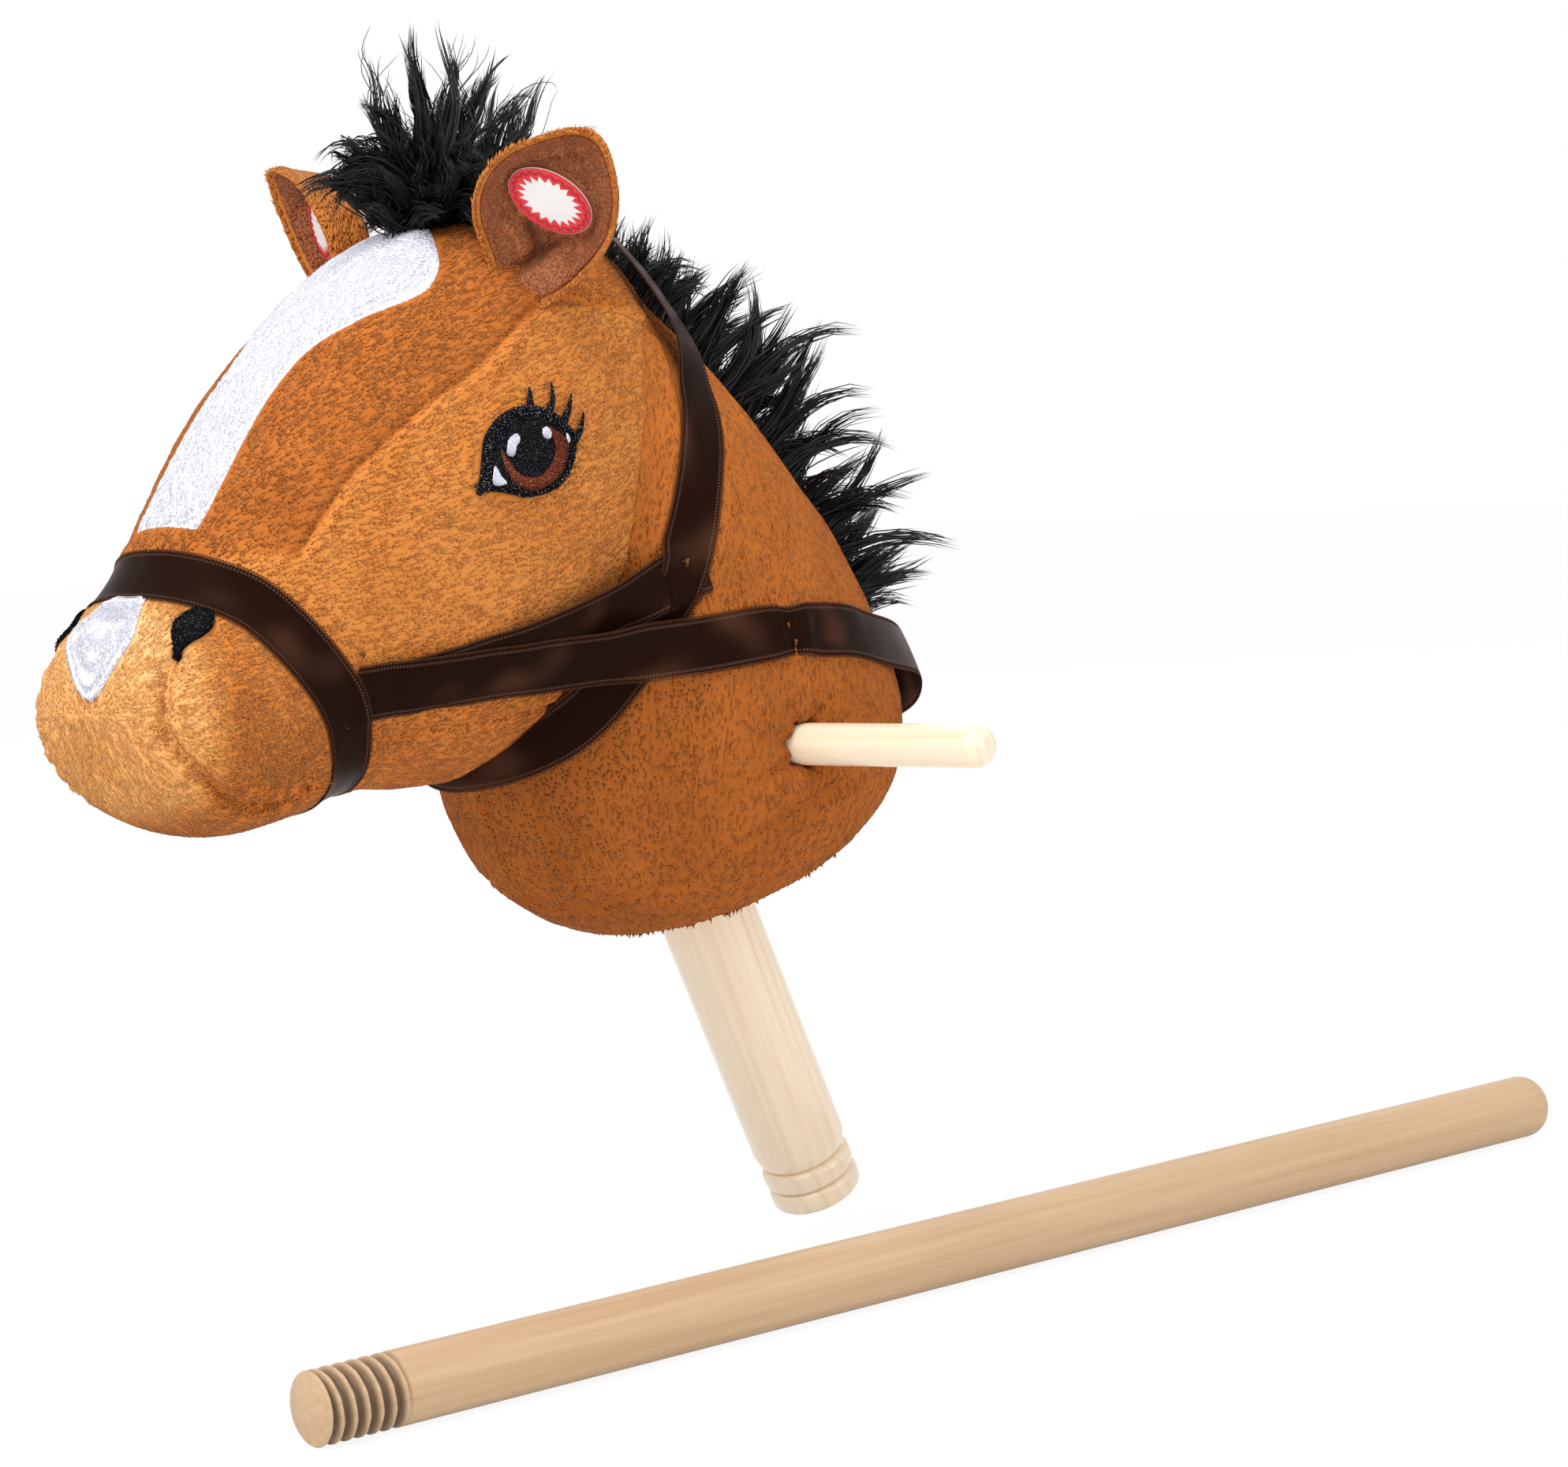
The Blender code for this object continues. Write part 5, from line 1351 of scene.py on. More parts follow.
def border_stitches(name, skin, outline, lift, reach, rng):
    """Short stitches from just outside an outline inwards; reach gives their length along the way"""
    path = smooth_path(outline, STITCH_STEP, closed=True)
    ahead = unit_rows(np.roll(path, -2, axis=0) - np.roll(path, 2, axis=0))
    starts, outward = on_skin(skin, path, lift)
    inward = unit_rows(np.cross(outward, ahead))
    if ((path.mean(axis=0) - path) * inward).sum() < 0:
        inward = -inward
    count = len(path)
    length = np.array([reach(p) for p in path]) * rng.uniform(0.85, 1.1, count)
    slant = ahead * rng.normal(0.35, 0.2, (count, 1))
    first = starts - inward * rng.uniform(0.1, 0.55, (count, 1))
    last, _ = on_skin(skin, starts + (inward + slant) * length[:, None], lift + 0.25)
    return stitches(name, first, last, outward, 0.5, 0.35)


def lash_stitches(name, skin, lash, lift, rng):
    """Stitches across a lash that tapers to its tip"""
    path = smooth_path(lash, FINE_STEP)
    spots, outward = on_skin(skin, path, lift)
    way = unit_rows(np.gradient(path, axis=0))
    side = unit_rows(np.cross(outward, way))
    taper = (np.linspace(1.0, 0.1, len(path)) ** 0.75)[:, None] * rng.uniform(1.7, 2.1, (len(path), 1))
    lean = way * 0.5
    return stitches(name, spots - (side + lean) * taper, spots + (side + lean) * taper, outward, 0.55, 0.3)


def band_stitches(name, skin, outer, inner, lift, rng):
    """Slanted stitches that fill a band between two edges of equal direction"""
    pick = np.linspace(0.0, 1.0, BAND_STITCHES)
    edges = []
    for line in (outer, inner):
        path = smooth_path(line, FINE_STEP)
        edges.append(read_rows(pick, np.linspace(0, 1, len(path)), path))
    shift = 4
    first, outward = on_skin(skin, edges[0][:-shift] + rng.normal(0, 0.08, (BAND_STITCHES - shift, 3)), lift)
    last, _ = on_skin(skin, edges[1][shift:] + rng.normal(0, 0.08, (BAND_STITCHES - shift, 3)), lift)
    return stitches(name, first, last, outward, 0.6, 0.25)


def fan_stitches(name, skin, outline, lift, rng):
    """Parallel stitches that fill a small outline from side to side"""
    path = smooth_path(outline, 0.25, closed=True)
    centre = path.mean(axis=0)
    normal = np.array(skin.nearest(centre)[1])
    up = np.array((0.0, 0.35, 0.94))
    up = unit(up - normal * up.dot(normal))
    across = np.cross(normal, up)
    flat = np.stack([(path - centre) @ across, (path - centre) @ up], axis=1)
    first, last = [], []
    for x in np.arange(flat[:, 0].min() + STITCH_STEP / 2, flat[:, 0].max(), STITCH_STEP):
        near = flat[np.abs(flat[:, 0] - x) < STITCH_STEP * 0.8, 1]
        if len(near) < 2 or near.max() - near.min() < 0.3:
            continue
        first.append(centre + across * (x + rng.normal(0, 0.05)) + up * (near.min() - 0.1))
        last.append(centre + across * (x + 0.15) + up * (near.max() + 0.1))
    first, outward = on_skin(skin, np.array(first), lift)
    last, _ = on_skin(skin, np.array(last), lift)
    return stitches(name, first, last, outward, STITCH_STEP * 1.5, 0.3)


def make_eye(skin, side):
    word = SIDES[side]
    rim = on_side(side, EYE_OUTLINE)
    rng = np.random.default_rng(31)
    ground = cast_patch("eye_ground_" + word, skin, rim, 0.5, 0.9, step=0.8, dome=0.4)

    def reach(point):
        return 4.2 if point[1] < -112.0 or point[2] > 116.0 else 2.0

    border = border_stitches("eye_border_" + word, skin, rim, 1.25, reach, rng)
    lashes = [lash_stitches("lash", skin, on_side(side, lash), 1.2, rng) for lash in LASHES]
    border = joined("eye_border_" + word, [border] + lashes)
    bands = (on_side(side, band) for band in (IRIS_OUTER, IRIS_INNER))
    iris = band_stitches("eye_iris_" + word, skin, *bands, 1.75, rng)
    glints = [np.mean(shape, axis=0) + (np.array(shape) - np.mean(shape, axis=0)) * 0.86 for shape in GLINTS]
    fans = [fan_stitches("white", skin, on_side(side, shape), 1.85, rng) for shape in (SCLERA, *glints)]
    whites = joined("eye_whites_" + word, fans)
    return ground, border, iris, whites


def make_blaze(skin):
    """White stripe laid on the forehead, with its half width given along the way"""
    path = smooth_path(BLAZE_PATH, 2.5)
    shares = np.linspace(-1.0, 1.0, 21)
    rows, ways = [], []
    tangents = unit_rows(np.gradient(path[:, :3], axis=0))
    for (_, y, z, half), tangent in zip(path, tangents):
        outward = np.cross((1.0, 0.0, 0.0), tangent)
        outward = outward if outward[2] > 0 else -outward
        hits = [skin.cast(np.array((half * share, y, z)) + outward * 60, -outward) for share in shares]
        rows.append([spot for spot, _ in hits])
        ways.append([normal for _, normal in hits])
    rows, ways = np.array(rows), np.array(ways)
    edge = 1.0 - np.maximum(np.abs(shares)[None, :] ** 6, (np.abs(np.linspace(-1, 1, len(path))) ** 24)[:, None])
    top = rows + ways * (0.25 + 1.3 * edge)[:, :, None]
    low = rows - ways * 0.6
    blaze = face_outwards(slab("blaze_ground", low, top))
    blaze.data.shade_smooth()
    return blaze


# Ears
def ear_axes(side):
    """Right, up and outward ways of an ear's face; side is 1 for the left ear"""
    turn = math.radians(EAR_TURN)
    up = EAR_UP.normalized()
    facing = Vector((math.sin(turn), -math.cos(turn), 0.0))
    out = (facing - up * facing.dot(up)).normalized()
    right = up.cross(out)
    flip = Vector((side, 1.0, 1.0))
    return right * flip, up * flip, out * flip


def ear_base(side):
    return EAR_BASE * Vector((side, 1.0, 1.0))


def ear_point(side, across, up, out):
    right, above, outward = ear_axes(side)
    return np.array(ear_base(side) + right * across + above * up + outward * out)


def ear_rings(side, fractions, depth_of, step=2.5):
    outline = smooth_path([(x, y, 0.0) for x, y in EAR_OUTLINE], step, closed=True)
    rings = []
    for fraction in fractions:
        ring = []
        for x, y, _ in outline:
            across = EAR_MIDDLE[0] + (x - EAR_MIDDLE[0]) * fraction
            up = EAR_MIDDLE[1] + (y - EAR_MIDDLE[1]) * fraction
            ring.append(ear_point(side, across, up, depth_of(fraction, across, up)))
        rings.append(ring)
    return np.array(rings)


def cup(fraction):
    """Depth of an ear's hollow, which is even in its middle"""
    return -9.0 * (1.0 - smooth_share(0.62, 1.0, fraction))


# Edge of the lining's folded corner and ends of the dark gap beside it, across and up on the ear
FOLD_START, FOLD_WAY = (-14.9, -1.7), (0.649, 0.761)
GAP = ((-12.1, 19.2), (-6.3, 10.7))


def fold_shares(across, up):
    """How much of the folded flap, of the crease above its edge and of the dark gap is at a point"""
    x, y = across - FOLD_START[0], up - FOLD_START[1]
    past = x * FOLD_WAY[1] - y * FOLD_WAY[0]
    along = x * FOLD_WAY[0] + y * FOLD_WAY[1]
    window = smooth_share(-3.0, 2.0, along) * (1.0 - smooth_share(20.0, 29.0, along))
    flap = smooth_share(-0.6, 1.8, past) * window
    crease = bell(past + 1.5, 1.5) * window
    gap_way = (GAP[1][0] - GAP[0][0], GAP[1][1] - GAP[0][1])
    share = ((across - GAP[0][0]) * gap_way[0] + (up - GAP[0][1]) * gap_way[1]) / math.hypot(*gap_way) ** 2
    share = min(1.0, max(0.0, share))
    away = math.hypot(across - GAP[0][0] - gap_way[0] * share, up - GAP[0][1] - gap_way[1] * share)
    return flap, crease, bell(away, 2.0), along


def lining_depth(fraction, across, up):
    """Depth of the lining: a cup with its lower corner folded forward over a dark gap"""
    flap, crease, gap, along = fold_shares(across, up)
    ripple = 0.35 * math.sin(across * 0.7 + up * 0.35) + 0.25 * math.sin(up * 0.55 - across * 0.2)
    base = cup(fraction) + 0.5 + ripple * (fraction < 0.88)
    raised = -1.6 + 0.5 * math.sin(along * 0.4)
    return base + (raised - base) * flap - 1.3 * max(crease * 0.8, gap)


def ear_places(side, places):
    """How far across, up and out on an ear points are"""
    offset = places - np.array(ear_base(side))
    return [offset @ np.array(axis) for axis in ear_axes(side)]


def beside_label(side, places, room):
    """True for the points that aren't under the label or in the room round it"""
    across, up, _ = ear_places(side, places)
    x, y = across - LABEL_CENTRE[0], up - LABEL_CENTRE[1]
    turn = math.radians(LABEL_TURN)
    u, v = x * math.cos(turn) + y * math.sin(turn), y * math.cos(turn) - x * math.sin(turn)
    return (u / (LABEL_LENGTH / 2 + room)) ** 2 + (v / (LABEL_WIDTH / 2 + room)) ** 2 > 1.0


def outside_cavity(side, places):
    """True for the points that aren't on the walls of the switch's cavity"""
    across, up, out = ear_places(side, places)
    away = np.hypot(across - LABEL_CENTRE[0], up - LABEL_CENTRE[1])
    return (away > SWITCH_CAVITY[0][0] + 0.6) | (out < SWITCH_CAVITY[0][1] - 0.6)


def lining_tone_with_painted_light_and_shade(side, places):
    """Tone of the lining, with painted light on the folded flap and painted shade in its crease and gap"""
    across_all, up_all, _ = ear_places(side, places)
    tones = []
    for across, up in zip(across_all, up_all):
        flap, crease, gap, _ = fold_shares(across, up)
        # Painted light: lighter on the flap; painted shade: darker in the crease and the gap
        tones.append(0.5 + 0.14 * flap - 0.46 * crease - 0.5 * gap)
    return np.clip(np.array(tones), 0.0, 1.0)


def ear_front_depth(fraction, across, up):
    return cup(fraction) - 2.4 + 3.6 * smooth_share(0.86, 0.965, fraction)


def ear_back_depth(fraction, across, up):
    return cup(fraction) - 3.0 - 6.5 * (1 - fraction ** 3)


def shell(name, *stacks):
    return ringed_solid(name, *((rings[0].mean(axis=0), rings) for rings in stacks))


def make_ear(side):
    word = SIDES[side]
    fractions = (0.15, 0.35, 0.55, 0.68, 0.78, 0.86, 0.92, 0.96, 1.0)
    outer = shell("ear_plush_" + word, ear_rings(side, fractions, ear_front_depth),
                  ear_rings(side, fractions, ear_back_depth))
    apply_modifier(outer, "SUBSURF", levels=1, render_levels=1)
    inner_fractions = np.linspace(0.06, 0.905, 17)
    front = ear_rings(side, inner_fractions, lining_depth, 1.4)
    back = ear_rings(side, inner_fractions, lambda f, x, y: cup(f) - 1.9, 1.4)
    lining = shell("ear_lining_plush_" + word, front, back)
    apply_modifier(lining, "SUBSURF", levels=1, render_levels=1)
    cavity = turned("switch_cavity", SWITCH_CAVITY)
    place_bar(cavity, axis_matrix(ear_point(side, *LABEL_CENTRE, 0.0), ear_axes(side)[2], (0.0, 0.0, 1.0)))
    for piece in (outer, lining):
        apply_modifier(piece, "BOOLEAN", operation="DIFFERENCE", object=cavity, solver="EXACT")
    bpy.data.objects.remove(cavity, do_unlink=True)
    return outer, lining


def label_ring(side, shape, height):
    """Points of a flat shape on the label's plane"""
    turn = math.radians(LABEL_TURN)
    ring = []
    for x, y in shape:
        across = LABEL_CENTRE[0] + x * math.cos(turn) - y * math.sin(turn)
        up = LABEL_CENTRE[1] + x * math.sin(turn) + y * math.cos(turn)
        ring.append(ear_point(side, across, up, height))
    return np.array(ring)


def oval_point(angle, inset):
    return (LABEL_LENGTH / 2 - inset) * math.cos(angle), (LABEL_WIDTH / 2 - inset) * math.sin(angle)


def oval(scale, inset=0.0):
    angles = np.linspace(0, math.tau, OVAL_POINTS, endpoint=False)
    return scale * np.array([oval_point(angle, inset) for angle in angles])


def burst(scale):
    """Outline with sharp points all the way round"""
    shape = []
    for k in range(BURST_POINTS * 2):
        angle = math.tau * k / (BURST_POINTS * 2)
        reach = (0.76 + 0.03 * math.sin(k * 1.7)) if k % 2 else 1.0
        shape.append((12.0 * scale * reach * math.cos(angle), 7.2 * scale * reach * math.sin(angle)))
    return shape


def stacked_plate(name, side, shape_at, low, high, bevel=0.35):
    """Flat plate with a softly rounded edge on the label's plane"""
    back = np.array([label_ring(side, shape_at(s), low) for s in (0.5, 1.0)])
    rows = [(0.5, high), (0.93, high), (1.0 - bevel * 0.02, high - 0.05), (1.0, high - bevel)]
    front = np.array([label_ring(side, shape_at(s), h) for s, h in rows])
    return shell(name, front, back)


def make_label(side):
    word = SIDES[side]
    edge = stacked_plate("label_edge_" + word, side, oval, LABEL_HEIGHT, LABEL_HEIGHT + 0.5)
    red = stacked_plate("label_oval_" + word, side, lambda s: oval(s, 0.25), LABEL_HEIGHT + 0.1, LABEL_HEIGHT + 0.95)
    star = stacked_plate("label_burst_" + word, side, burst, LABEL_HEIGHT + 0.5, LABEL_HEIGHT + 1.05, 0.1)
    stitches = label_stitches(side)
    return edge, red, star, stitches


def label_stitches(side):
    """Running zigzag stitches just inside the label's rim"""
    points, faces = [], []
    for k in range(LABEL_STITCHES):
        start, end = math.tau * k / LABEL_STITCHES, math.tau * (k + 0.8) / LABEL_STITCHES
        inner, outer = (1.4, 2.6) if k % 2 else (2.6, 1.4)
        line = []
        for t in (0.0, 0.5, 1.0):
            angle, inset = start + (end - start) * t, inner + (outer - inner) * t
            height = LABEL_HEIGHT + 1.0 + 0.28 * math.sin(t * math.pi)
            line.append(label_ring(side, [oval_point(angle, inset)], height)[0])
        faces += tube_faces(len(points), len(line), 4)
        out = np.array(ear_axes(side)[2])
        across = unit(np.cross(out, line[-1] - line[0]))
        quarters = np.radians((0, 90, 180, 270))
        points += [spot + swung(across, out, turn) * 0.22 for spot in line for turn in quarters]
    return thread_solid("label_stitches_" + SIDES[side], points, faces)


# Hair
def lock_paths(starts, ways, lengths, curls, waves, droop, segments, rng):
    """Middle lines of locks that bend under their weight, curl and wave"""
    spot, way = starts.copy(), unit_rows(ways)
    side = unit_rows(np.cross(way, rng.normal(0.0, 1.0, starts.shape)))
    phase = rng.uniform(0.0, math.tau, len(starts))
    path = [spot.copy()]
    for k in range(segments):
        t = (k + 1) / segments
        sway = swung(side, np.cross(way, side), (phase + waves[:, 1] * t)[:, None])
        way = way + curls * (t / segments) * 2.2 + sway * waves[:, 0:1] * t
        way[:, 2] -= droop * t / segments
        way = unit_rows(way)
        spot = spot + way * (lengths / segments)[:, None]
        path.append(spot.copy())
    return np.array(path)


def aimed_paths(starts, tips, bows, waves, segments, rng):
    """Middle lines of locks that bow out on their way from root to tip and wave a little"""
    side = unit_rows(np.cross(tips - starts, rng.normal(0.0, 1.0, starts.shape)))
    up = unit_rows(np.cross(tips - starts, side))
    phase = rng.uniform(0.0, math.tau, len(starts))
    path = []
    for t in np.linspace(0.0, 1.0, segments + 1):
        sway = swung(side, up, (phase + waves[:, 1] * t)[:, None]) * waves[:, 0:1] * math.sin(math.pi * min(t, 0.8))
        path.append(starts + (tips - starts) * t + bows * (4.0 * t * (1.0 - t)) + sway)
    return np.array(path)


def strands(name, paths, per_lock, spread, gather, rng, thickness):
    """Tapered three-sided strands that follow each lock's middle line and draw together at its tip"""
    rows, locks = paths.shape[:2]
    segments = rows - 1
    number = np.repeat(np.arange(locks), per_lock)
    count = len(number)
    offset = rng.normal(0.0, spread, (count, 3))
    reach = rng.uniform(0.7, 1.0, count)
    phase = rng.uniform(0.0, math.tau, count)
    tones = rng.uniform(0.0, 0.6, locks)[number] + rng.uniform(0.0, 0.4, count)
    path = []
    for t in np.linspace(0.0, 1.0, rows):
        place = reach * t * segments
        low = np.minimum(place.astype(int), segments - 1)
        part = (place - low)[:, None]
        middle = paths[low, number] * (1.0 - part) + paths[low + 1, number] * part
        wave = offset[:, [1, 2, 0]] * (0.6 * np.sin(phase + t * 6.0) * t)[:, None]
        path.append(middle + (offset + wave) * (1.0 - gather * (reach * t) ** 0.8)[:, None])
    path = np.array(path)
    side = unit_rows(np.cross(path[1] - path[0], rng.normal(0.0, 1.0, (count, 3))))
    rings = []
    for k in range(segments):
        ahead = unit_rows(path[k + 1] - path[max(k - 1, 0)])
        across = level_rows(side, ahead)
        up = np.cross(ahead, across)
        width = thickness * (1.0 - 0.7 * (k / segments) ** 2)
        rings += [path[k] + swung(across, up, turn) * width for turn in THIRDS]
    points = np.stack(rings + [path[-1]], axis=1)
    per = points.shape[1]
    last = (segments - 1) * 3
    tip = [(last + m, last + (m + 1) % 3, per - 1) for m in range(3)]
    height = np.array([k // 3 / segments for k in range(per - 1)] + [1.0])
    lean = np.array([(k % 3 - 1) * 0.006 for k in range(per - 1)] + [0.0])
    tones = (np.clip(tones, 0.05, 0.95)[:, None] + lean, height * 0.96 + 0.02)
    mesh = many_mesh(name, points, [(0, 2, 1)] + three_sided(segments) + tip, tones)
    mesh.shade_smooth()
    return linked(name, mesh)


# Height that the crown is looked for from, and how deep the hair's roots are in the plush
ABOVE_HEAD, ROOT_DEPTH = 260.0, 2.0


def crown_roots(skin, number, rng, ahead, behind, half):
    """Random roots on the crown between the ears, with how far each is off the middle"""
    centres, places = [], []
    while len(centres) < number:
        x, y = rng.uniform(-half, half), rng.uniform(ahead, behind)
        place = (x / half, (y - (ahead + behind) / 2) / ((behind - ahead) / 2))
        if place[0] ** 2 + place[1] ** 2 > 1.0:
            continue
        spot, normal = skin.cast((x, y, ABOVE_HEAD), (0, 0, -1))
        centres.append(np.array(spot) - np.array(normal) * ROOT_DEPTH)
        places.append(place)
    return np.array(centres), np.array(places)


def wave_rows(rng, count, size, turns):
    """How far each lock sways and by how many radians it turns on its way, within limits"""
    return np.stack([rng.uniform(*size, count), rng.uniform(*turns, count)], axis=1)


def by_place(points):
    """Order of points from the front right to the back left"""
    return np.argsort(points[:, 1] * 0.67 + points[:, 0] * 0.74)


# Middle of the crown and tips of the upright locks and of those that hang over the right ear: y and z on the
# middle plane
CROWN_Y, CROWN_Z = -78.0, 190.0
UPRIGHT_TIPS = (
    (-107, 245.7), (-92.8, 255), (-85.9, 258), (-73.4, 259.5), (-68.6, 252.8), (-48, 249.9), (-38, 248.3),
    (-28.2, 242.1), (-22.3, 241.9), (1.5, 225), (-60, 238), (-50, 230), (-80, 236), (-95, 234),
    (-36, 226), (-14, 218), (-112, 226),
)
FRINGE_TIPS = (
    (-146.5, 201.2), (-135.6, 209), (-148.4, 192.6), (-114.8, 232.6), (-126, 203), (-140, 198),
    (-120, 216), (-130, 192), (-118, 190), (-110, 206),
)
# Change of y and z along the camera's line of sight for each step in x
SIGHT_SLOPE = (-1.106, 0.128)


def spread_tips(tips, copies, depth, rng):
    """Places for the tips of several locks each, moved along the camera's line of sight"""
    places = []
    for y, z in tips:
        for copy in range(copies):
            x = rng.uniform(-depth, depth)
            shrink = 1.0 if copy == 0 else rng.uniform(0.72, 0.95)
            y_here = CROWN_Y + (y - CROWN_Y) * shrink + rng.normal(0.0, 2.0) * (copy > 0)
            z_here = CROWN_Z + (z - CROWN_Z) * shrink
            places.append((x, y_here + SIGHT_SLOPE[0] * x, z_here + SIGHT_SLOPE[1] * x))
    return np.array(places)


def make_forelock(skin, seed, count):
    """Dense curly core, long locks that stand up from it, and locks that hang over the right ear"""
    rng = np.random.default_rng(seed)
    locks = 120
    centres, places = crown_roots(skin, locks, rng, -96.0, -56.0, 14.0)
    ways = np.stack([places[:, 0] * 0.7, places[:, 1] * 0.6, np.full(locks, 0.75)], axis=1)
    ways = unit_rows(ways + rng.normal(0.0, 0.25, (locks, 3)))
    waves = wave_rows(rng, locks, (0.15, 0.6), (3, 9))
    curls = rng.normal(0.0, 0.7, (locks, 3))
    paths = lock_paths(centres, ways, rng.uniform(28, 40, locks), curls, waves, 0.8, 7, rng)
    core = strands("forelock_core", paths, count // locks, 2.0, 0.55, rng, 0.36)

    tips = spread_tips(UPRIGHT_TIPS, 3, 9.0, rng)
    roots, _ = crown_roots(skin, len(tips), rng, -90.0, -60.0, 10.0)
    roots, tips = roots[by_place(roots)], tips[by_place(tips)]
    bows = rng.normal(0.0, 2.6, tips.shape) + (0.0, 0.0, 5.0)
    waves = wave_rows(rng, len(tips), (0.8, 3.2), (4, 11))
    paths = aimed_paths(roots, tips, bows, waves, 12, rng)
    upright = strands("forelock_locks", paths, 15, 1.6, 0.72, rng, 0.36)
    astray = tips + rng.normal(0.0, 5.0, tips.shape) - (0.0, 0.0, 6.0)
    loose = aimed_paths(roots, astray, rng.normal(0.0, 8.0, tips.shape), waves * (1.8, 1.6), 14, rng)
    upright = joined("forelock_locks", [upright, strands("loose", loose, 4, 2.4, 0.1, rng, 0.3)])

    tips = spread_tips(FRINGE_TIPS, 4, 4.0, rng)
    roots, _ = crown_roots(skin, len(tips), rng, -100.0, -78.0, 9.0)
    bows = rng.normal(0.0, 2.5, tips.shape) + (0.0, -3.0, 13.0)
    waves = wave_rows(rng, len(tips), (0.8, 2.6), (4, 10))
    paths = aimed_paths(roots, tips, bows, waves, 12, rng)
    fringe = strands("forelock_fringe", paths, 14, 1.6, 0.45, rng, 0.38)
    return core, upright, fringe


# Crest of the neck: y, z, half width of the brush and length of its locks there
MANE_LINE = (
    (-4, 180, 8, 28), (14, 168, 12, 40), (34, 150, 15, 46), (53, 129, 16, 62), (71, 104, 16, 64), (87, 76, 16, 64),
    (101, 50, 14, 66), (112, 28, 8, 54),
)


def make_mane(skin, seed, count):
    """Brush of locks down the back of the neck that leans out and droops at the tips"""
    rng = np.random.default_rng(seed)
    locks = 190
    line = smooth_path([(0, y, z, half, length) for y, z, half, length in MANE_LINE], 1.0)
    centres, ways, lengths = [], [], []
    for place in np.sort(rng.uniform(0, len(line) - 1.001, locks)):
        _, y, z, half, length = line[int(place)]
        ahead = line[min(int(place) + 1, len(line) - 1)][:3] - line[max(int(place) - 1, 0)][:3]
        outward = unit(np.cross((1.0, 0.0, 0.0), ahead))
        outward = outward if outward[1] + outward[2] > 0 else -outward
        across = rng.uniform(-0.9, 0.9)
        start = np.array((half * across, y, z)) + outward * 30
        spot, _ = skin.cast(start, -outward)
        spot = np.array(spot) if spot is not None else np.array((half * across, y, z))
        centres.append(spot - outward * ROOT_DEPTH)
        ways.append(outward + np.array((across * 0.6, 0.0, 0.3)) + rng.normal(0.0, 0.2, 3))
        lengths.append(length * rng.uniform(0.65, 1.08))
    waves = wave_rows(rng, locks, (0.05, 0.3), (2, 7))
    curls = rng.normal(0.0, 0.3, (locks, 3))
    paths = lock_paths(np.array(centres), np.array(ways), np.array(lengths), curls, waves, 0.9, 6, rng)
    return strands("mane_hair", paths, count // locks, 2.3, 0.6, rng, 0.4)


# Stage
def make_camera():
    data = bpy.data.cameras.new("photo_camera")
    data.lens, data.sensor_width = LENS, SENSOR
    data.sensor_fit = "HORIZONTAL"
    data.clip_end = 20.0
    camera = linked("photo_camera", data)
    back = Vector(CAMERA_BACK).normalized()
    turn, roll = math.radians(CAMERA_TURN), math.radians(CAMERA_ROLL)
    level = Vector((math.cos(turn), math.sin(turn), 0.0))
    above = back.cross(level)
    right = level * math.cos(roll) + above * math.sin(roll)
    up = above * math.cos(roll) - level * math.sin(roll)
    camera.matrix_world = axes_matrix(right, up, back, CAMERA_PLACE)
    bpy.context.scene.camera = camera


def add_area_light(name, place, target, size, power):
    data = bpy.data.lights.new(name, "AREA")
    data.shape, data.size, data.energy = "SQUARE", size, power
    light = linked(name, data)
    way = Vector(place) - Vector(target)
    light.matrix_world = Matrix.Translation(place) @ way.to_track_quat("Z", "Y").to_matrix().to_4x4()


def make_floor(size, level):
    deselect_all()
    bpy.ops.mesh.primitive_plane_add(size=size, location=(0, 0, level))
    floor = bpy.context.object
    floor.name = "floor"
    bpy.ops.object.transform_apply(location=True)
    paint = Paint("pale_floor", Roughness=0.8, Base_Color=(0.86, 0.86, 0.86, 1.0))
    glow = paint.node("ShaderNodeEmission", {}, {"Color": (1.0, 1.0, 1.0), "Strength": 1.06})
    mixer = paint.tree.nodes.new("ShaderNodeMixShader")
    paint.plug(mixer.inputs[0], paint.seen_directly() * 0.84)
    paint.tree.links.new(paint.shader.outputs[0], mixer.inputs[1])
    paint.tree.links.new(glow.socket, mixer.inputs[2])
    paint.tree.links.new(mixer.outputs[0], paint.tree.nodes["Material Output"].inputs[0])
    floor.data.materials.append(paint.material)


def make_world(strength):
    world = bpy.data.worlds.new("studio")
    world.use_nodes = True
    bpy.context.scene.world = world
    nodes = Nodes(world.node_tree)
    background = nodes.tree.nodes["Background"]
    background.inputs["Color"].default_value = (1.0, 1.0, 1.0, 1.0)
    values = {"Value": nodes.seen_directly(), "To Min": strength, "To Max": 1.0}
    nodes.plug(background.inputs["Strength"], nodes.node("ShaderNodeMapRange", {}, values))


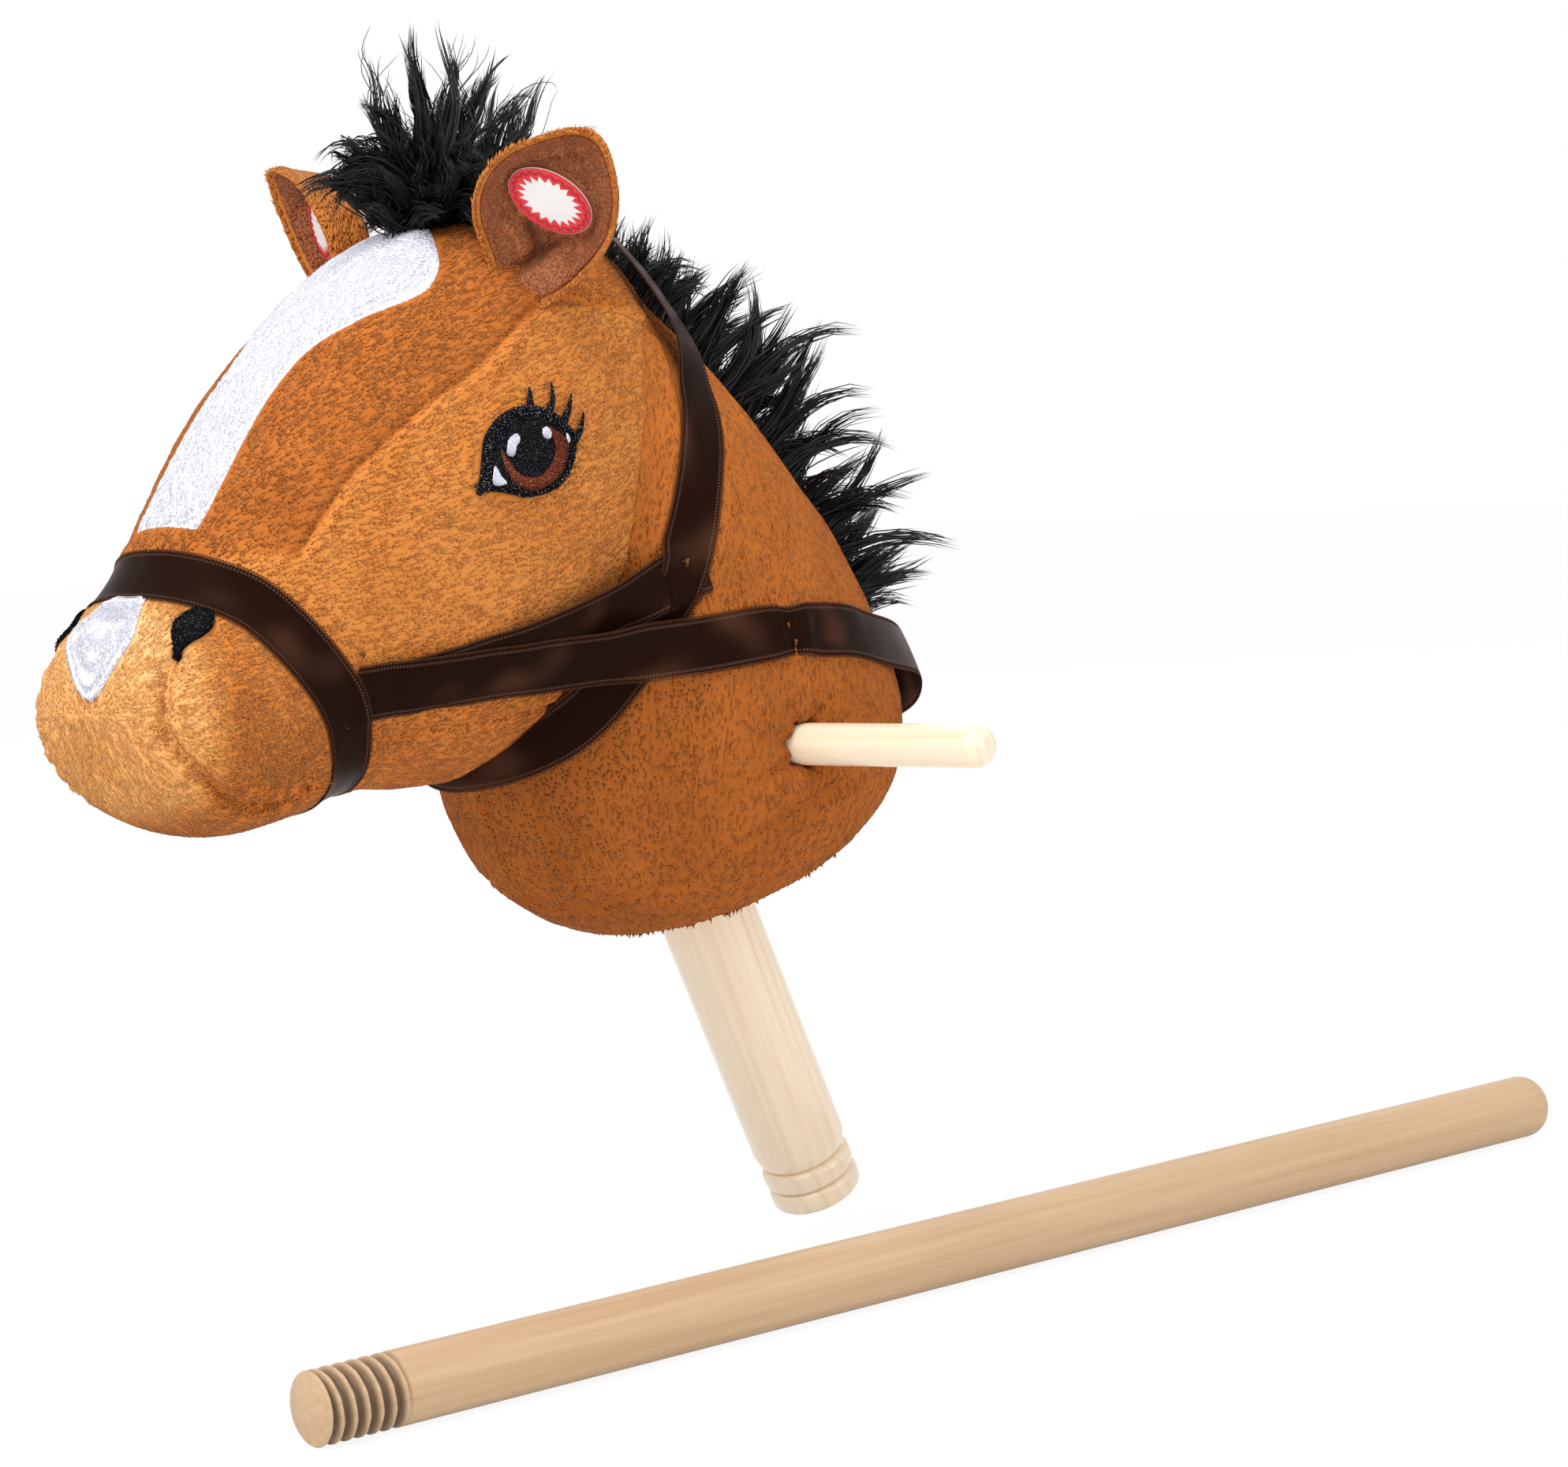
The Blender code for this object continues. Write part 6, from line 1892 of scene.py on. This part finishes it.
# Sizes and colours that a user would change
class HorseSizes(bpy.types.PropertyGroup):
    voxel: FloatProperty(name="Voxel", description="Grid size of the plush forms, in mm", default=2.6, min=1.5, max=6.0)
    pile_length: FloatProperty(name="Pile Length", description="Length of a plush tuft, in mm", default=2.6, min=0.5)
    pile_width: FloatProperty(name="Pile Width", description="Width of a plush tuft, in mm", default=0.95, min=0.1)
    pile_rise: FloatProperty(name="Pile Rise", description="Angle of the pile to the cloth, in degrees", default=2.4)
    pile_mix: FloatProperty(name="Pile Mix", description="Spread of the tufts' tones", default=0.085, min=0.0)
    head_tufts: IntProperty(name="Head Tufts", description="Tufts tried on the head", default=62000, min=100)
    neck_tufts: IntProperty(name="Neck Tufts", description="Tufts tried on the neck", default=60000, min=100)
    hair_strands: IntProperty(name="Hair Strands", description="Strands in each bunch of hair", default=4800, min=100)
    picot_pitch: FloatProperty(name="Picot Pitch", description="Distance between edge loops, in mm", default=1.15)


class HorseColours(bpy.types.PropertyGroup):
    satin: FloatVectorProperty(name="Satin", description="Ribbon colour", subtype="COLOR", default=linear((32, 16, 9)))
    red: FloatVectorProperty(name="Red", description="Ear label colour", subtype="COLOR", default=linear((225, 45, 55)))
    embroidery: FloatVectorProperty(
        name="Embroidery", description="Black thread colour", subtype="COLOR", default=(0.003, 0.003, 0.0035))


class BuildStage(bpy.types.Operator):
    """Camera, lights and floor"""
    bl_idname = "stick_horse.build_stage"
    bl_label = "Stage"

    def execute(self, context):
        context.scene.view_settings.view_transform = "Standard"
        make_camera()
        make_world(WORLD_STRENGTH)
        for light in LIGHTS:
            add_area_light(*light)
        make_floor(FLOOR_SIZE, CAD_BOX[0][2])
        return {"FINISHED"}


class BuildWood(bpy.types.Operator):
    """Upper stick, hand bar and lower pole"""
    bl_idname = "stick_horse.build_wood"
    bl_label = "Turned Wood"

    def execute(self, context):
        lean = (-math.radians(STICK_LEAN), 0.0, 0.0)
        lacquered = wood_material("lacquered_birch", LACQUERED_STOPS, lean, 0.3, 0.6, 0.45)
        finished(make_upper_stick(), lacquered, "lacquered_wood", HORSE, "upper_stick")
        bar_wood = wood_material("lacquered_bar", LACQUERED_STOPS, (0.0, math.radians(-90), 0.0), 0.3, 0.6, 0.5)
        finished(make_hand_bar(), bar_wood, "lacquered_wood", HORSE, "handle_bar")
        yaw = (math.radians(90), -math.radians(POLE_YAW), 0.0)
        sanded = wood_material("sanded_birch", SANDED_STOPS, yaw, 0.5, 0.1, 0.15)
        finished(make_lower_pole(), sanded, "sanded_wood", LOOSE_POLE, "lower_pole")
        return {"FINISHED"}


class BuildPlush(bpy.types.Operator):
    """Stuffed head, muzzle, neck and base panel"""
    bl_idname = "stick_horse.build_plush"
    bl_label = "Plush"

    def execute(self, context):
        sizes = context.scene.horse_sizes
        ground = plush_material("tan_plush_ground", TAN_STOPS)
        for obj, (_, node, _) in zip(make_plush(sizes.voxel), PLUSH):
            finished(obj, ground, "tan_plush", HORSE, node)
        return {"FINISHED"}


class BuildFace(bpy.types.Operator):
    """White stripe, muzzle patch, nostrils and eyes"""
    bl_idname = "stick_horse.build_face"
    bl_label = "Face"

    def execute(self, context):
        colours = context.scene.horse_colours
        skin = plush_skin()
        white = plush_material("white_plush_ground", WHITE_STOPS)
        blaze = make_blaze(skin)
        patch = cast_patch("muzzle_patch_ground", skin, MUZZLE_PATCH, 0.2, 0.9, step=1.5)
        for obj, node in ((blaze, "blaze_patch"), (patch, "muzzle_patch")):
            set_value(obj, "tone", np.full(len(obj.data.vertices), WHITE_TONE))
            finished(obj, white, "white_plush", HORSE, node)
        dark = tuple(colours.embroidery)
        light = tuple(c * 4 for c in dark)
        # The fourth colour of each is painted into the thread as small glints, as painted highlights
        black = thread_material("black_embroidery", dark, light, linear((96, 94, 98)), 0.6, 0.0)
        glossy = thread_material("black_stitches", dark, light, linear((176, 176, 182)), 0.5, 0.02)
        brown, pale = coloured_thread("brown_stitches"), coloured_thread("white_stitches")
        for side, word in SIDES.items():
            ground, border, iris, whites = make_eye(skin, side)
            outline = on_side(side, NOSTRIL)
            nostril = cast_patch("nostril_felt_" + word, skin, outline, 0.4, 1.0, step=0.7, dome=0.4)
            rim = border_stitches("nostril_rim_" + word, skin, outline, 1.1, lambda p: 2.0, np.random.default_rng(7))
            finish_all("black_embroidery", HORSE, (ground, black, "eye_" + word), (border, glossy), (iris, brown),
                       (whites, pale), (nostril, black, "nostril_" + word), (rim, black))
        return {"FINISHED"}


class BuildBridle(bpy.types.Operator):
    """Satin ribbons with picot edges"""
    bl_idname = "stick_horse.build_bridle"
    bl_label = "Bridle"

    def execute(self, context):
        skin = plush_skin()
        colour = tuple(context.scene.horse_colours.satin)
        satin, picots = satin_material(colour), picot_material(colour)
        pitch = context.scene.horse_sizes.picot_pitch
        layers = Layers(skin)
        for name, guide, half, closed in ribbon_guides():
            rows, normals = ribbon_rows(layers, guide, half, closed)
            for side in SIDES:
                if name == "rein":
                    rows = pinch_fold(rows, normals, REIN_PINCH * Vector((side, 1, 1)))
                if name == "crown_strap":
                    rows = pinch_dimple(rows, normals, CROWN_PINCH * Vector((side, 1, 1)))
            layers.add(rows + normals[:, None] * RIBBON_THICKNESS, closed)
            obj, length = ribbon_mesh(name + "_ribbon", rows, normals, closed)
            finished(obj, satin, "brown_satin", HORSE, name)
            edging = picot_edging(name + "_picots", rows, normals, closed, pitch)
            finished(edging, picots, "brown_satin", HORSE)
        thread = coloured_thread("sewing_thread")
        for spot, name, size in TACKS:
            for side, word in SIDES.items():
                knot = make_knot(name, layers, np.array(spot) * (side, 1, 1), size)
                finished(knot, thread, "tan_sewing_thread", HORSE, "%s_%s" % (name, word))
        return {"FINISHED"}


class BuildEars(bpy.types.Operator):
    """Ears, their linings and labels"""
    bl_idname = "stick_horse.build_ears"
    bl_label = "Ears"

    def execute(self, context):
        colours = context.scene.horse_colours
        tan = bpy.data.materials["tan_plush_ground"]
        brown = plush_material("brown_plush_ground", BROWN_STOPS)
        white = moulded_material("white_vinyl", linear((240, 238, 236)), 0.4)
        red = moulded_material("red_vinyl", tuple(colours.red), 0.38)
        thread = moulded_material("red_thread", tuple(c * 0.75 for c in colours.red), 0.5, 0.0, 3000.0)
        for side, word in SIDES.items():
            outer, lining = make_ear(side)
            set_tone(outer, EAR_TONE)
            set_value(lining, "tone", lining_tone_with_painted_light_and_shade(side, points_of(lining.data) / MM))
            finished(outer, tan, "tan_plush", HORSE, "ear_" + word)
            finished(lining, brown, "brown_plush", HORSE, "ear_lining_" + word)
            button = "ear_button_" + word
            edge, oval_piece, star, stitches = make_label(side)
            finish_all("red_vinyl", button, (edge, white, "ear_label_" + word), (oval_piece, red), (star, white),
                       (stitches, thread))
        return {"FINISHED"}


class BuildHair(bpy.types.Operator):
    """Forelock and mane"""
    bl_idname = "stick_horse.build_hair"
    bl_label = "Hair"

    def execute(self, context):
        skin = plush_skin()
        hair = hair_material()
        count = context.scene.horse_sizes.hair_strands
        core, upright, fringe = make_forelock(skin, 11, count)
        mane = make_mane(skin, 12, count)
        finish_all("black_pile", HORSE, (core, hair, "forelock"), (upright, hair), (fringe, hair), (mane, hair, "mane"))
        return {"FINISHED"}


class BuildPile(bpy.types.Operator):
    """Short pile on the plush"""
    bl_idname = "stick_horse.build_pile"
    bl_label = "Pile"

    def execute(self, context):
        sizes = context.scene.horse_sizes
        tan = pile_material("tan_pile", TAN_STOPS, (1.0, 0.72, 0.42))
        white = pile_material("white_pile", WHITE_STOPS, (1.0, 1.0, 1.0))
        brown = pile_material("brown_pile", BROWN_STOPS, (1.0, 0.7, 0.5))
        covered = ending_with(*COVERS)
        ribbons = ending_with("_ribbon")
        skin = plush_skin()

        def clear(tree, spots, tips):
            return far_from(spots, tree, 1.3) & far_from(tips, tree, 1.1)

        def open_skin(spots, normals, tips):
            return near_skin(spots, 1.6) & clear(covered, spots, tips)

        def outward(spots, normals, tips):
            facing = np.array([skin.nearest(p)[1].dot(Vector(n)) > 0.3 for p, n in zip(spots, normals)])
            return facing & clear(ribbons, spots, tips)

        def add(source, count, tone_of, length, seed, keep, lay_of, material, slot, calm=1.0):
            piece = bpy.data.objects[source]
            obj = grow_pile(piece, source + "_pile", count, tone_of, length, seed, keep, lay_of, sizes, calm)
            finished(obj, material, slot, HORSE)

        counts = (sizes.head_tufts, sizes.head_tufts // 2, sizes.neck_tufts, sizes.neck_tufts // 3)
        for seed, ((name, _, base), count) in enumerate(zip(PLUSH, counts)):
            head = seed < 2
            length = sizes.pile_length * (1.0 if head else 0.8)
            add(name, count, lambda p: tone_at(p, base), length, seed, open_skin,
                lambda p: nap_ways(p, head), tan, "tan_plush")
        for name, count in (("blaze_ground", 19000), ("muzzle_patch_ground", 6000)):
            add(name, count, lambda p: np.full(len(p), WHITE_PILE_TONE), 2.2, 20, outward,
                lambda p: np.stack([p[:, 0] * 0.02, np.full(len(p), -0.8), np.full(len(p), -0.6)], axis=1),
                white, "white_plush", 0.1)
        for side, word in SIDES.items():
            _, up, out = (np.array(axis) for axis in ear_axes(side))
            lining = ending_with("ear_lining_plush_" + word)

            def on_shell(spots, normals, tips):
                return far_from(spots, lining, 1.6) & outside_cavity(side, spots)

            def on_lining(spots, normals, tips):
                facing = (normals * out).sum(axis=1) > 0.15
                return facing & beside_label(side, spots, 0.6) & beside_label(side, tips, 0.4)

            add("ear_plush_" + word, 15000, lambda p: tone_at(p, EAR_TONE), 2.4, 30, on_shell,
                lambda p: np.tile(up, (len(p), 1)), tan, "tan_plush")
            add("ear_lining_plush_" + word, 12000, lambda p: lining_tone_with_painted_light_and_shade(side, p), 2.2, 31, on_lining,
                lambda p: np.tile(up + out * 0.2, (len(p), 1)), brown, "brown_plush")
        return {"FINISHED"}


class FinishInnerParts(bpy.types.Operator):
    """Materials of the tie, switches and sound box"""
    bl_idname = "stick_horse.finish_inner_parts"
    bl_label = "Inner Parts"

    def execute(self, context):
        finishes = {
            "white_plastic": moulded_material("moulded_white_plastic", (0.75, 0.75, 0.73), 0.42),
            "spring_steel": moulded_material("drawn_steel", (0.6, 0.6, 0.6), 0.28, 1.0, 1600.0),
            "circuit_green": moulded_material("solder_mask", (0.03, 0.2, 0.07), 0.4),
            "speaker_black": moulded_material("black_paper_cone", (0.02, 0.02, 0.02), 0.6),
            "red_lead": moulded_material("red_insulation", (0.55, 0.03, 0.03), 0.4),
            "tan_sewing_thread": moulded_material("tan_thread", (0.2, 0.09, 0.05), 0.7, 0.0, 2400.0),
        }
        for obj in frame["nodes"].values():
            for slot in obj.material_slots:
                name = slot.material.name.split(".")[0] if slot.material else ""
                if name in finishes:
                    slot.link = "OBJECT"
                    slot.material = finishes[name]
        return {"FINISHED"}


class StickHorsePanel(bpy.types.Panel):
    """Lists the steps in the order in which they are built"""
    bl_idname = "VIEW3D_PT_stick_horse"
    bl_label = "Stick Horse"
    bl_space_type = "VIEW_3D"
    bl_region_type = "UI"
    bl_category = "Stick Horse"

    def draw(self, context):
        for group in (context.scene.horse_sizes, context.scene.horse_colours):
            for name in group.__annotations__:
                self.layout.prop(group, name)
        for step in STEPS:
            self.layout.operator(step.bl_idname)


STEPS = (BuildStage, BuildWood, BuildPlush, BuildFace, BuildBridle, BuildEars, BuildHair, BuildPile, FinishInnerParts)
CLASSES = (HorseSizes, HorseColours, *STEPS, StickHorsePanel)


def register():
    for item in CLASSES:
        bpy.utils.register_class(item)
    bpy.types.Scene.horse_sizes = PointerProperty(type=HorseSizes)
    bpy.types.Scene.horse_colours = PointerProperty(type=HorseColours)


def unregister():
    del bpy.types.Scene.horse_sizes
    del bpy.types.Scene.horse_colours
    for item in reversed(CLASSES):
        bpy.utils.unregister_class(item)


def main():
    register()
    for step in STEPS:
        group, name = step.bl_idname.split(".")
        getattr(getattr(bpy.ops, group), name)()
    deselect_all()


if __name__ == "__main__":
    main()
